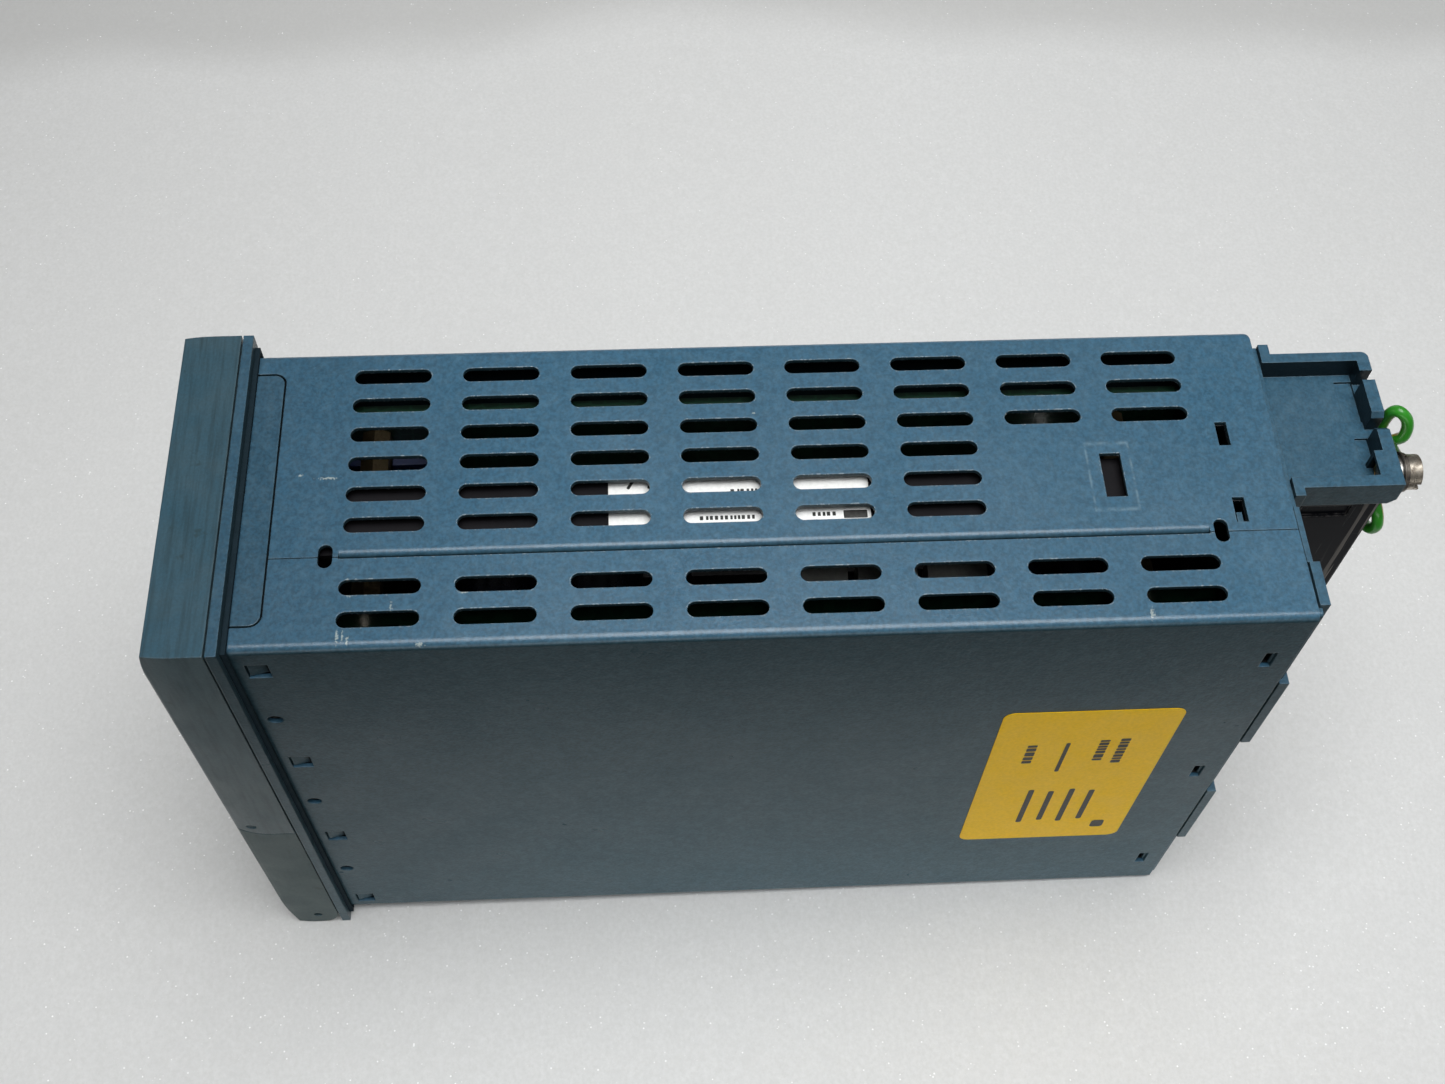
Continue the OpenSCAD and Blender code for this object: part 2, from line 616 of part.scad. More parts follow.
overlay = [64.5, 69.8];
overlay_z = 29.5;
overlay_t = 0.6;
WINDOWS = [ // x, z, width, height
    [0, 57.6, 50, 9], [0, 46, 50, 10], [-25, 21, 6.4, 37], [-13, 21, 6.4, 37], [0, -3.2 + 2.6, 54, 4]];

module window_cuts(grow, y) {
    for (w = WINDOWS) {
        half_w = w[2] / 2 + grow;
        half_z = w[3] / 2 + grow;
        box([w[0] - half_w, w[0] + half_w], y, [w[1] - half_z, w[1] + half_z]);
    }
}
module key_cuts(grow, y) {
    half_w = key_size[0] / 2 + grow;
    half_z = key_size[1] / 2 + grow;
    for (x = key_x, z = key_z) box([x - half_w, x + half_w], y, [z - half_z, z + half_z]);
}

back_plate_y = [flange_y - 2, flange_y - 0.2];
joint_gap = 0.4;
joint_depth = 1.2;

module fascia() {
    color([0.2, 0.31, 0.37]) {
        difference() {
            front_body();
            below_seam(0);
            // hollow behind the front wall
            box([-bezel_w / 2 + wall, bezel_w / 2 - wall], [front_y + wall, 0], [seam_z + 2.6, half_h - wall]);
            box([-bezel_w / 2 + wall, bezel_w / 2 - wall], [flange_y - 4.8, 0], [-99, seam_z + 3]);
            box([-100, 100], [flange_y - 0.05, 9], [-99, 99]);
            // open joint line all round, next to the front frame
            difference() {
                box([-100, 100], [flange_y - joint_gap, 9], [-99, 99]);
                plate(bezel_w - 2 * joint_depth, bezel_h - 2 * joint_depth, [flange_y - 5, 10]);
            }
            translate([0, 0, overlay_z]) plate(overlay[0], overlay[1], [front_y - 1, front_y + overlay_t]);
            window_cuts(-0.6, [front_y - 1, front_y + 4]);
            key_cuts(0.2, [front_y - 1, front_y + 4]);
            // dimples beside the seam
            both_sides() rod_x([bezel_w / 2 - 0.45, 40], front_y + 3.9, -8.6, 1.1);
        }
        // plate behind the flap, and the ears that hold its pins
        difference() {
            union() {
                box([-33.4, 33.4], back_plate_y, [-63.5, 0]);
                box([-bezel_w / 2 + wall - E, bezel_w / 2 - wall + E], back_plate_y, [seam_z + 1, half_h - wall + E]);
            }
            box([-27, 27], [-20, 0], [-4, 64]);
            box([-29, 29], [-20, 0], [seam_z + 2.5, 64]);
            rod_y(-17, [-20, 0], -38, 4.6);
            box([6.2, 20.8], [-20, 0], [-45.2, -29.8]);
        }
        both_sides() difference() {
            along_x([31.4, 33.4]) polygon(concat(
                arc([pivot_y, pivot_z], 2.6, 135, 330), [[back_plate_y[1], -62.5], [back_plate_y[0] - 1, -60]]));
            rod_x([20, 50], pivot_y, pivot_z, pin_r + 0.02);
        }
    }
}

module fascia_overlay() {
    color([0.04, 0.05, 0.06]) difference() {
        translate([0, 0, overlay_z]) plate(overlay[0] - 0.1, overlay[1] - 0.1, [front_y + 0.02, front_y + overlay_t]);
        window_cuts(0, [front_y - 1, front_y + 4]);
        key_cuts(0.2, [front_y - 1, front_y + 4]);
    }
}

module display_lenses() {
    color([0.15, 0.05, 0.05, 0.6]) window_cuts(-0.05, [front_y + 0.05, front_y + overlay_t]);
}

module display_board() {
    color([0.05, 0.25, 0.12]) difference() {
        box([-32, 32], [-8.6, -7], [-7, 66]);
        for (x = [-29, 29], z = [-4, 63]) rod_y(x, [-10, -5], z, 1.6);
    }
}

display_y = [front_y + wall + 0.05, -8.6];
module tag_display() { color([0.12, 0.02, 0.02]) box([-26, 26], display_y, [52.6, 62.6]); }
module numeric_display() { color([0.12, 0.02, 0.02]) box([-26, 26], display_y, [40.5, 51.6]); }
module left_bargraph() { color([0.12, 0.02, 0.02]) box([-29, -21], display_y, [2.2, 40]); }
module right_bargraph() { color([0.12, 0.1, 0.02]) box([-17, -9], display_y, [2.2, 40]); }
module output_bargraph() { color([0.12, 0.1, 0.02]) box([-28, 28], [front_y + wall + 0.05, -8.6], [-3.6, 1.7]); }

// End of a key's stem, short of the bottom of its switch by the key's travel and a little more
stem_end_y = -10.3;

module key_switches() {
    color([0.08, 0.08, 0.08]) for (x = key_x, z = key_z) difference() {
        box([x - 3, x + 3], [-11.2, -8.6], [z - 3, z + 3]);
        rod_y(x, [-12, stem_end_y + key_travel + 0.3], z, 1.75);
    }
}

// A key: a cap through the front wall, with a rim that keeps it in and a stem into its switch
module key(i) {
    x = key_x[i % 2];
    z = key_z[floor(i / 2)];
    grey = [0.6, 0.62, 0.62];
    colours = [[0.15, 0.35, 0.2], [0.75, 0.6, 0.15], [0.6, 0.15, 0.12], grey, grey, grey];
    half_w = key_size[0] / 2;
    half_z = key_size[1] / 2;
    rim_y = front_y + wall + 0.05;
    color(colours[i]) {
        box([x - half_w, x + half_w], [front_y - 0.9, rim_y + 0.5], [z - half_z, z + half_z]);
        box([x - half_w - 0.7, x + half_w + 0.7], [rim_y, rim_y + 0.9], [z - half_z - 0.7, z + half_z + 0.7]);
        rod_y(x, [rim_y + 0.5, stem_end_y], z, 1.5);
    }
}

module port_socket() {
    color([0.05, 0.05, 0.05]) difference() {
        box([6.4, 20.6], [flange_y - 2.6, 8], [-45, -30]);
        box([8, 19], [flange_y - 5, 5.5], [-42.2, -34.6]);
        box([10.5, 16.5], [flange_y - 5, 5.5], [-34.7, -32]);
    }
}

module release_screw() {
    color([0.7, 0.7, 0.68]) translate([-17, flange_y - 2.2, -38]) mirror([0, 1, 0]) slotted_screw(2.4, 12, 4.2, 2.6);
}

module hinge_pins() {
    color([0.45, 0.5, 0.52]) both_sides() rod_x([30, bezel_w / 2 - 1.3], pivot_y, pivot_z, pin_r);
}

module flap() {
    color([0.2, 0.3, 0.33]) difference() {
        intersection() {
            front_body();
            below_seam(flap_gap);
            box([-50, 50], [-50, flange_y - 0.3], [-half_h + 0.3, 0]);
        }
        // hollow behind the front wall
        difference() {
            box([-bezel_w / 2 + wall, bezel_w / 2 - wall], [front_y + 1.8, 0], [-half_h + 2.1, 0]);
            // the foot follows the soft front edge
            along_x([-50, 50]) polygon([[front_y - 1, -half_h], [front_y + 4.6, -half_h], [front_y + 1.8, -half_h + 18], [front_y - 1, -half_h + 18]]);
        }
        box([-bezel_w / 2 + wall, bezel_w / 2 - wall], [pivot_y, 0], [-99, 0]);
        // the foot of each side is round about the pin
        difference() {
            box([-50, 50], [pivot_y, 0], [-half_h - 1, pivot_z]);
            rod_x([-60, 60], pivot_y, pivot_z, flap_r);
        }
        rod_x([-50, 50], pivot_y, pivot_z, pin_r + pin_clear);
    }
}

// ---------- drawer: boards ----------

module chassis_frame() {
    front = [0.4, 1.4];
    color([0.13, 0.13, 0.14]) {
        difference() {
            plate(throat_w - 0.8, throat_h - 0.8, front);
            box([-26, 26], [-5, 5], [-56, 56]);
            plate(60, board_h - 1, [-5, -2]);
        }
        top_and_bottom() box(rail_x, [front[0], board_y1 - 2], [rail_z, rail_z + 1]);
        box(rail_x, [board_y1 - 3, board_y1 - 2], [-rail_z, rail_z]);
        // tabs that carry the fascia
        for (s = [-1, 1], z = [-50, 50]) box([min(s * 26.5, s * 29), max(s * 26.5, s * 29)], [flange_y, front[0] + 0.1], [z - 6, z + 6]);
    }
}

module chassis_label() { color([0.92, 0.92, 0.9]) box([-4.6, 9.4], [69, 119.5], [rail_z + 1, rail_z + 1.15]); }

module board(x, holes_z) {
    difference() {
        union() {
            box([x, x + board_t], [board_y0, board_y1], [-board_h / 2, board_h / 2]);
            box([x, x + board_t], [board_y1 - 1, finger_y1], [-finger_h / 2, finger_h / 2]);
        }
        for (y = [22, 172], z = holes_z) rod_x([x - 1, x + board_t + 1], y, z, 1.6);
    }
}

spacer_z = [-56, 56];
module main_board() { color([0.05, 0.25, 0.12]) board(main_x, spacer_z); }
module power_board() { color([0.05, 0.25, 0.12]) board(power_x, spacer_z); }

chip_x = main_x + board_t;
module main_chips() {
    color([0.06, 0.06, 0.06]) {
        for (i = [0:4], j = [0:2]) box([chip_x + 0.4, chip_x + 3.9], [34 + i * 26, 52 + i * 26], [-42 + j * 34, -32 + j * 34]);
        for (i = [0:4], j = [0:2], k = [0:6], s = [-1, 1])
            box([chip_x, chip_x + 2], [34.8 + i * 26 + k * 2.54, 35.4 + i * 26 + k * 2.54],
                [-37 + j * 34 + s * 5.3 - 0.3, -37 + j * 34 + s * 5.3 + 0.3]);
    }
}

module setting_switches() {
    color([0.1, 0.2, 0.5]) for (y = [14, 30]) difference() {
        box([chip_x, chip_x + 6], [y - 5, y + 5], [50, 54.5]);
        for (k = [0:3]) box([chip_x + 5.4, chip_x + 7], [y - 4.1 + k * 2.3, y - 2.9 + k * 2.3], [51, 53.4]);
    }
}

module backup_battery() { color([0.7, 0.72, 0.75]) rod_x([chip_x, chip_x + 6], 160, 46, 8); }

module ribbon_cable() {
    color([0.6, 0.6, 0.62]) {
        box([-20.6, -19.9], [-6.9, 30], [4, 36]);
        box([-20.8, -14], [-7, -6.3], [4, 36]);
        box([chip_x, -19.9], [28, 31], [2.5, 37.5]);
    }
}

core_x = [2, power_x];
core_z = [-20, 12];
leg_z = [-8.5, 0.5];
module transformer_core() {
    color([0.3, 0.3, 0.32]) difference() {
        box(core_x, [92, 130], core_z);
        for (z = [[core_z[0] + 4.5, leg_z[0]], [leg_z[1], core_z[1] - 4.5]]) box([core_x[0] + 3.5, core_x[1] - 3.5], [90, 132], z);
    }
}

module transformer_winding() {
    color([0.75, 0.55, 0.2]) difference() {
        box([core_x[0] + 3.8, core_x[1] - 3.8], [88, 134], [core_z[0] + 4.8, core_z[1] - 4.8]);
        box([0, power_x], [91.8, 130.2], [leg_z[0] - 0.2, leg_z[1] + 0.2]);
    }
}

module capacitors() {
    color([0.1, 0.12, 0.3]) {
        for (p = [[44, 34, 9, 24], [66, 34, 9, 24], [40, 8, 6, 18], [56, 8, 6, 18], [150, 44, 6, 16], [166, 44, 6, 16]])
            rod_x([power_x - p[3], power_x], p[0], p[1], p[2]);
        for (y = [146, 156, 166, 176]) rod_x([power_x - 11, power_x], y, 24, 4);
    }
}

module heatsink() {
    color([0.6, 0.62, 0.63]) {
        box([power_x - 16, power_x - 0.1], [140, 143], [-58, -8]);
        for (i = [0:6]) box([power_x - 16, power_x - 0.1], [142.9, 160], [-58 + i * 8, -56.5 + i * 8]);
    }
}

module power_transistors() {
    color([0.1, 0.1, 0.1]) for (z = [-46, -30]) {
        box([power_x - 13, power_x - 3], [135.4, 140], [z - 5, z + 5]);
        for (k = [-1:1]) box([power_x - 3.1, power_x], [137, 137.6], [z + k * 2.54 - 0.4, z + k * 2.54 + 0.4]);
    }
}

module mains_fuse() {
    color([0.8, 0.82, 0.8]) {
        rod_y(power_x - 6, [100, 120], -36, 2.5);
        for (y = [99, 116]) box([power_x - 9, power_x], [y, y + 5], [-39, -38.4]);
        for (y = [99, 116]) box([power_x - 9, power_x], [y, y + 5], [-33.6, -33]);
    }
}

module mains_filter() {
    color([0.5, 0.3, 0.12]) difference() {
        rod_x([power_x - 14, power_x - 0.2], 78, -40, 13);
        rod_x([power_x - 15, power_x + 1], 78, -40, 6);
    }
    color([0.9, 0.75, 0.1]) box([power_x - 18, power_x], [38, 60], [-52, -38]);
}

module relays() {
    color([0.9, 0.9, 0.88]) for (i = [0:2]) box([power_x - 15, power_x], [112 + i * 14 - 8, 124 + i * 14 - 8], [28, 50]);
}

module board_spacers() {
    color([0.78, 0.66, 0.35]) for (y = [22, 172], z = spacer_z)
        translate([main_x + board_t, y, z]) rotate([0, 90, 0]) cylinder(h = power_x - main_x - board_t, r = 3.2, $fn = 6);
}

module board_screws() {
    color([0.7, 0.7, 0.68]) both_sides() for (y = [22, 172], z = spacer_z) translate([0, y, z]) {
        rod_x([23.65, 25.4], 0, 0, 2.7);
    }
}

// ---------- assembly ----------

sleeve_left_shell();
sleeve_right_shell();
front_frame();
panel_gasket();
rear_panel();
blanking_plate();
blanking_screws();
cable_tray();
terminal_block();
terminal_screws();
terminal_cover();
cover_screws();
earth_screw();
earth_washers();
ring_terminal();
earth_insert();
earth_wire();
rating_label();
backplane_board();
backplane_sockets();
card_guides();
fascia();
fascia_overlay();
display_lenses();
display_board();
tag_display();
numeric_display();
left_bargraph();
right_bargraph();
output_bargraph();
key_switches();
port_socket();
release_screw();
hinge_pins();
chassis_frame();
chassis_label();
main_board();
main_chips();
setting_switches();
backup_battery();
ribbon_cable();
power_board();
transformer_core();
transformer_winding();
capacitors();
heatsink();
power_transistors();
mains_fuse();
mains_filter();
relays();
board_spacers();
board_screws();
flap();
for (i = [0:5]) key(i);
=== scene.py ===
import bpy, bmesh, json, math, random
from mathutils import Vector, Matrix, noise


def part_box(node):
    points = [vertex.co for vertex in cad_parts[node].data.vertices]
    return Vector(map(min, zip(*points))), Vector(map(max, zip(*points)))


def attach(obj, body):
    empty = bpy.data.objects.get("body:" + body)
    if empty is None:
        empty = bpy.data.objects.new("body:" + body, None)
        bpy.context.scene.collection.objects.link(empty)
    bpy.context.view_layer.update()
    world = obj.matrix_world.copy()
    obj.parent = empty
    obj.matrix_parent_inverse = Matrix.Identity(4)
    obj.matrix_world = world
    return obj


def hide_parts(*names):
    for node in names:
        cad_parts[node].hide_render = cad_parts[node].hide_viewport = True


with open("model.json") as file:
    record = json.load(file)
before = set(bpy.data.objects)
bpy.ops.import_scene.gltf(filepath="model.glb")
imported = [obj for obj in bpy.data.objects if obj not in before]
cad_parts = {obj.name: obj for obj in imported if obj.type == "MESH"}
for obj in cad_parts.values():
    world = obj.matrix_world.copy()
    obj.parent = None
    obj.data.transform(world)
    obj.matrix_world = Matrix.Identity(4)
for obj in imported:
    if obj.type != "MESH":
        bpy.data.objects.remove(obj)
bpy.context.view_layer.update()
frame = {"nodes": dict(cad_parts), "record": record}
nodes = frame["nodes"]
random.seed(7)
MM = 0.001


# ---------------------------------------------------------------- camera
# high on the near side, looking down on the vented top and the side with the rating label
CAMERA_AT = (0.17894, 0.07773, 0.34540)
CAMERA_FORWARD = (-0.51340, 0.03947, -0.85724)
CAMERA_RIGHT = (0.04522, 0.99880, 0.01891)
SENSOR_MM = 36
LENS_MM = 42.645


def make_camera():
    data = bpy.data.cameras.new("camera")
    data.sensor_width = SENSOR_MM
    data.lens = LENS_MM
    data.clip_start = 0.01
    camera = bpy.data.objects.new("camera", data)
    bpy.context.scene.collection.objects.link(camera)
    forward = Vector(CAMERA_FORWARD).normalized()
    right = Vector(CAMERA_RIGHT).normalized()
    up = right.cross(forward).normalized()
    right = forward.cross(up)
    basis = Matrix((right, up, -forward)).transposed()
    camera.matrix_world = Matrix.Translation(Vector(CAMERA_AT)) @ basis.to_4x4()
    bpy.context.scene.camera = camera


make_camera()


# ---------------------------------------------------------------- node helpers
def rgba(color):
    """A colour socket as it is, or three numbers made opaque."""
    return color if isinstance(color, bpy.types.NodeSocket) else (*color, 1)


def shade(color, factor):
    """The colour made darker, or lighter when the factor is above 1."""
    return [min(1, c * factor) for c in color]


MATS = {}


class Graph:
    """A material's node tree, with short ways to add nodes. Lengths are metres on the object."""

    def __init__(self, name):
        self.name = name
        self.mat = bpy.data.materials.new(name)
        self.mat.use_nodes = True
        self.t = self.mat.node_tree
        self.bsdf = self.t.nodes["Principled BSDF"]
        self.coord = self.add("ShaderNodeTexCoord").outputs["Object"]

    def add(self, kind, **values):
        n = self.t.nodes.new(kind)
        for k, v in values.items():
            setattr(n, k, v)
        return n

    def put(self, socket, value):
        if isinstance(value, bpy.types.NodeSocket):
            self.t.links.new(value, socket)
        else:
            socket.default_value = value

    def scaled(self, *scale):
        """Object coordinates times a scale: a low factor draws a pattern out along that axis."""
        n = self.add("ShaderNodeMapping")
        self.put(n.inputs["Vector"], self.coord)
        n.inputs["Scale"].default_value = scale
        return n.outputs[0]

    def noise(self, scale, detail=3.0, rough=0.55, distortion=0.0, source=None):
        n = self.add("ShaderNodeTexNoise")
        self.put(n.inputs["Vector"], source or self.coord)
        n.inputs["Scale"].default_value = scale
        n.inputs["Detail"].default_value = detail
        n.inputs["Roughness"].default_value = rough
        n.inputs["Distortion"].default_value = distortion
        return n.outputs["Fac"]

    def voronoi(self, scale, feature="F1", randomness=1.0):
        n = self.add("ShaderNodeTexVoronoi", feature=feature)
        self.put(n.inputs["Vector"], self.coord)
        n.inputs["Scale"].default_value = scale
        n.inputs["Randomness"].default_value = randomness
        return n.outputs["Distance"]

    def ramp(self, value, low, high, a=0.0, b=1.0, smooth=False):
        """Goes from a to b while the value goes from low to high, and stays level beyond."""
        n = self.add("ShaderNodeMapRange", interpolation_type="SMOOTHSTEP" if smooth else "LINEAR")
        self.put(n.inputs["Value"], value)
        for k, v in (("From Min", low), ("From Max", high), ("To Min", a), ("To Max", b)):
            n.inputs[k].default_value = v
        return n.outputs[0]

    def math(self, op, a, b=0.0):
        n = self.add("ShaderNodeMath", operation=op)
        self.put(n.inputs[0], a)
        self.put(n.inputs[1], b)
        return n.outputs[0]

    def times(self, first, *others):
        for value in others:
            first = self.math("MULTIPLY", first, value)
        return first

    def highest(self, first, *others):
        for value in others:
            first = self.math("MAXIMUM", first, value)
        return first

    def opposite(self, value):
        return self.math("SUBTRACT", 1.0, value)

    def mix(self, fac, a, b):
        n = self.add("ShaderNodeMix", data_type="RGBA")
        self.put(n.inputs["Factor"], fac)
        self.put(n.inputs["A"], rgba(a))
        self.put(n.inputs["B"], rgba(b))
        return n.outputs["Result"]

    def axis(self, which):
        n = self.add("ShaderNodeSeparateXYZ")
        self.put(n.inputs[0], self.coord)
        return n.outputs["XYZ".index(which)]

    def distance(self, point, stretch):
        """Distance from a point of the object, on a stretched scale."""
        d = self.add("ShaderNodeVectorMath", operation="SUBTRACT")
        self.put(d.inputs[0], self.coord)
        d.inputs[1].default_value = point
        m = self.add("ShaderNodeVectorMath", operation="MULTIPLY")
        self.put(m.inputs[0], d.outputs[0])
        m.inputs[1].default_value = stretch
        n = self.add("ShaderNodeVectorMath", operation="LENGTH")
        self.put(n.inputs[0], m.outputs[0])
        return n.outputs["Value"]

    def bump(self, height, strength, distance, normal=None):
        n = self.add("ShaderNodeBump")
        n.inputs["Strength"].default_value = strength
        n.inputs["Distance"].default_value = distance
        self.put(n.inputs["Height"], height)
        if normal is not None:
            self.put(n.inputs["Normal"], normal)
        return n.outputs[0]

    def rounded(self, radius):
        """The normal as it would be with its edges rounded."""
        n = self.add("ShaderNodeBevel", samples=4)
        n.inputs["Radius"].default_value = radius
        return n.outputs[0]

    def edges(self, radius, low=0.02, high=0.25):
        """1 where the surface turns within the radius, 0 on the flat."""
        d = self.add("ShaderNodeVectorMath", operation="DOT_PRODUCT")
        self.put(d.inputs[0], self.rounded(radius))
        self.put(d.inputs[1], self.add("ShaderNodeNewGeometry").outputs["Normal"])
        return self.ramp(self.opposite(d.outputs["Value"]), low, high)

    def facing_up(self):
        """0 on the walls, 1 on the level surfaces."""
        n = self.add("ShaderNodeSeparateXYZ")
        self.put(n.inputs[0], self.add("ShaderNodeNewGeometry").outputs["Normal"])
        return self.ramp(self.math("ABSOLUTE", n.outputs[2]), 0.15, 0.85)

    def finish(self, color, rough, normal, metallic=0.0, specular=0.5):
        """Joins everything to the shader and enters the material in MATS."""
        self.put(self.bsdf.inputs["Base Color"], rgba(color))
        self.put(self.bsdf.inputs["Roughness"], rough)
        self.put(self.bsdf.inputs["Specular IOR Level"], specular)
        self.put(self.bsdf.inputs["Normal"], normal)
        self.bsdf.inputs["Metallic"].default_value = metallic
        MATS[self.name] = self.mat


# ---------------------------------------------------------------- painted sheet
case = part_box("sleeve_right_shell")[1]
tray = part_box("cable_tray")[0]
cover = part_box("terminal_cover")[1]
SHEET = 0.0010

# each pair is a place on the case, from just before it to just past it
INNER_SIDE_X = (case.x - SHEET - 0.0001, case.x - SHEET + 0.0002)
INNER_TOP_Z = (case.z - SHEET - 0.0001, case.z - SHEET + 0.0003)
OUTER_TOP_Z = (case.z - 0.0004, case.z - 0.0001)
CASE_REAR_Y = (case.y - 0.0004, case.y)
TRAY_FRONT_Y = (tray.y - 0.00065, tray.y - 0.00025)
TRAY_SIDE_X = (cover.x + 0.0004, cover.x + 0.0008)
TRAY_FLOOR_Z = (tray.z - 0.0022, tray.z - 0.0018)
GLINT_FROM_Y = (0.018, 0.022)
GLINT_TO_Y = (0.186, 0.190)

CLAMP_MARK_AT = (0.0010, 0.1666)
CLAMP_MARK_HALF = (0.0079, 0.0044)

CHIPS = [  # mm: x, y, and how far across and along
    (-3.4, 15.5, 0.35, 2.6), (-4.2, 10.1, 0.4, 0.7), (19.5, 20.8, 0.8, 0.5), (22.3, 21.0, 0.7, 0.9),
    (25.2, 29.0, 1.2, 0.4), (31.1, 19.5, 1.9, 0.35), (31.2, 20.5, 1.6, 0.3), (31.8, 21.4, 1.2, 0.4),
    (33.0, 34.5, 0.5, 1.2), (22.5, 42.1, 0.4, 1.1), (31.4, 169.2, 1.6, 0.7), (-16.2, 98.0, 0.3, 0.5)]


def painted_inner_shade(g, color):
    """Painted shade: the inside of the case is made nearly black."""
    across = g.ramp(g.math("ABSOLUTE", g.axis("X")), *INNER_SIDE_X)
    above = g.ramp(g.math("ABSOLUTE", g.axis("Z")), *INNER_TOP_Z)
    behind = g.ramp(g.axis("Y"), *CASE_REAR_Y)
    return g.mix(g.opposite(g.highest(across, above, behind)), color, (0.003, 0.0045, 0.006))


def painted_wall_shade(g, color, up):
    """Painted shade: the walls darken towards the top, away from the foot, and most of all in the cable
    tray.
    """
    wall = g.opposite(up)
    color = g.mix(g.times(g.ramp(g.axis("Z"), -0.06, 0.07, 0.0, 0.45), wall), color, (0.0, 0.003, 0.004))
    shade_in_tray = g.times(
        g.ramp(g.axis("Y"), *TRAY_FRONT_Y), g.ramp(g.axis("X"), *TRAY_SIDE_X, 1.0, 0.0),
        g.ramp(g.axis("Z"), *TRAY_FLOOR_Z), wall, 0.8)
    return g.mix(shade_in_tray, color, (0.002, 0.006, 0.009))


def chipped(g, color):
    """Small places on the top where the bare metal shows."""
    wobble = g.ramp(g.noise(2600, 2.0), 0.3, 0.7, -0.0006, 0.0006)
    bare = []
    for x, y, across, along in CHIPS:
        away = g.distance((x * MM, y * MM, case.z), (1 / across, 1 / along, 1))
        bare.append(g.ramp(g.math("ADD", away, wobble), 0.00025, 0.00075, 1.0, 0.0))
    return g.mix(g.times(g.highest(*bare), 0.75), color, (0.36, 0.41, 0.39))


def clamp_mark(g, color):
    """A scuffed frame left round the clamp window by a clamp."""
    reach = []
    for which, middle, half in zip("XY", CLAMP_MARK_AT, CLAMP_MARK_HALF):
        away = g.math("ABSOLUTE", g.math("ADD", g.axis(which), -middle))
        reach.append(g.math("DIVIDE", away, half))
    ring = g.highest(*reach)
    line = g.times(g.ramp(ring, 0.88, 0.96), g.ramp(ring, 0.98, 1.04, 1.0, 0.0),
                   g.ramp(g.noise(420, 3.0), 0.42, 0.6, 0.05, 0.4), g.ramp(g.axis("Z"), *OUTER_TOP_Z))
    return g.mix(line, color, (0.22, 0.32, 0.37))


def painted_bend_glints(g, color, grain):
    """Painted glints: the bends sparkle bright in fine points, away from the seams at both ends."""
    middle = g.times(g.ramp(g.axis("Y"), *GLINT_FROM_Y), g.ramp(g.axis("Y"), *GLINT_TO_Y, 1.0, 0.0))
    points = g.times(g.ramp(grain, 0.54, 0.62), middle, g.edges(0.0006, 0.01, 0.1), 0.6)
    return g.mix(points, color, (0.42, 0.52, 0.58))


def powder_coat(name, top, side, wear_and_glints_on_top=False):
    """Speckled paint with painted light: bluer on the level surfaces, as lit, than on the shaded walls."""
    g = Graph(name)
    grain = g.noise(1500, 2.0, 0.6)
    coarse = g.noise(520, 2.0, 0.6)
    up = g.facing_up()
    color = g.mix(g.ramp(grain, 0.36, 0.64, 0.0, 0.38), g.mix(up, side, top), (0.01, 0.02, 0.025))
    color = g.mix(g.ramp(coarse, 0.42, 0.7, 0.0, 0.10), color, (0.20, 0.34, 0.42))
    color = g.mix(g.ramp(g.noise(22, 4.0, 0.6), 0.45, 0.75, 0.0, 0.05), color, (0.22, 0.26, 0.27))
    color = g.mix(g.ramp(g.noise(9, 3.0, 0.6), 0.35, 0.65, 0.0, 0.12), color, (0.02, 0.035, 0.04))
    # edge wear and painted highlight: the edges are lightened in patches
    edge_wear_and_highlight = g.times(g.edges(0.0004), g.ramp(g.noise(260, 3.0), 0.35, 0.6, 0.10, 0.45))
    color = g.mix(edge_wear_and_highlight, color, (0.16, 0.24, 0.28))
    color = painted_inner_shade(g, color)
    # painted shade: the front end is a little darker
    color = g.mix(g.ramp(g.axis("Y"), 0.0, 0.07, 0.22, 0.0, True), color, (0.0, 0.0, 0.0))
    color = painted_wall_shade(g, color, up)
    # chips and a clamp mark, which are wear, and painted glints along the bends
    if wear_and_glints_on_top:
        color = painted_bend_glints(g, clamp_mark(g, chipped(g, color)), grain)
    rough = g.ramp(g.noise(60, 3.0), 0.3, 0.7, 0.27, 0.36)
    height = g.math("ADD", grain, g.times(coarse, 1.1))
    shine = g.math("ADD", g.times(up, 0.34), 0.16)
    g.finish(color, rough, g.bump(height, 0.5, 0.00007, g.rounded(0.00035)), specular=shine)


# ---------------------------------------------------------------- other finishes
def moulding(name, top, side, rough=(0.30, 0.42), streaks=0.5):
    """Moulded plastic with blotches, wiped streaks along the height and dark spots, and painted light: lit
    on the level surfaces, shaded on the walls.
    """
    g = Graph(name)
    fine = g.noise(1900, 2.0, 0.5)
    up = g.facing_up()
    color = g.mix(g.ramp(fine, 0.36, 0.64, 0.0, 0.2), g.mix(up, side, top), (0.012, 0.02, 0.022))
    color = g.mix(g.ramp(g.noise(45, 5.0, 0.65, 0.6), 0.42, 0.72, 0.0, 0.2), color, (0.10, 0.12, 0.11))
    wipe = g.noise(60, 4.0, 0.6, source=g.scaled(1.0, 16.0, 1.6))
    color = g.mix(g.ramp(wipe, 0.45, 0.68, 0.0, streaks), color, (0.012, 0.026, 0.03))
    color = g.mix(g.ramp(g.noise(260, 3.0, 0.6), 0.66, 0.72, 0.0, 0.5), color, (0.015, 0.028, 0.026))
    # edge wear and painted highlight: the edges are lightened in patches
    edge_wear_and_highlight = g.times(g.edges(0.0005), g.ramp(g.noise(300, 3.0), 0.4, 0.6, 0.05, 0.35))
    color = g.mix(edge_wear_and_highlight, color, (0.18, 0.24, 0.26))
    r = g.ramp(g.noise(90, 5.0, 0.6, 0.5), 0.3, 0.7, *rough)
    shine = g.math("ADD", g.times(up, 0.1), 0.32)
    g.finish(color, r, g.bump(fine, 0.3, 0.00005, g.rounded(0.0004)), specular=shine)


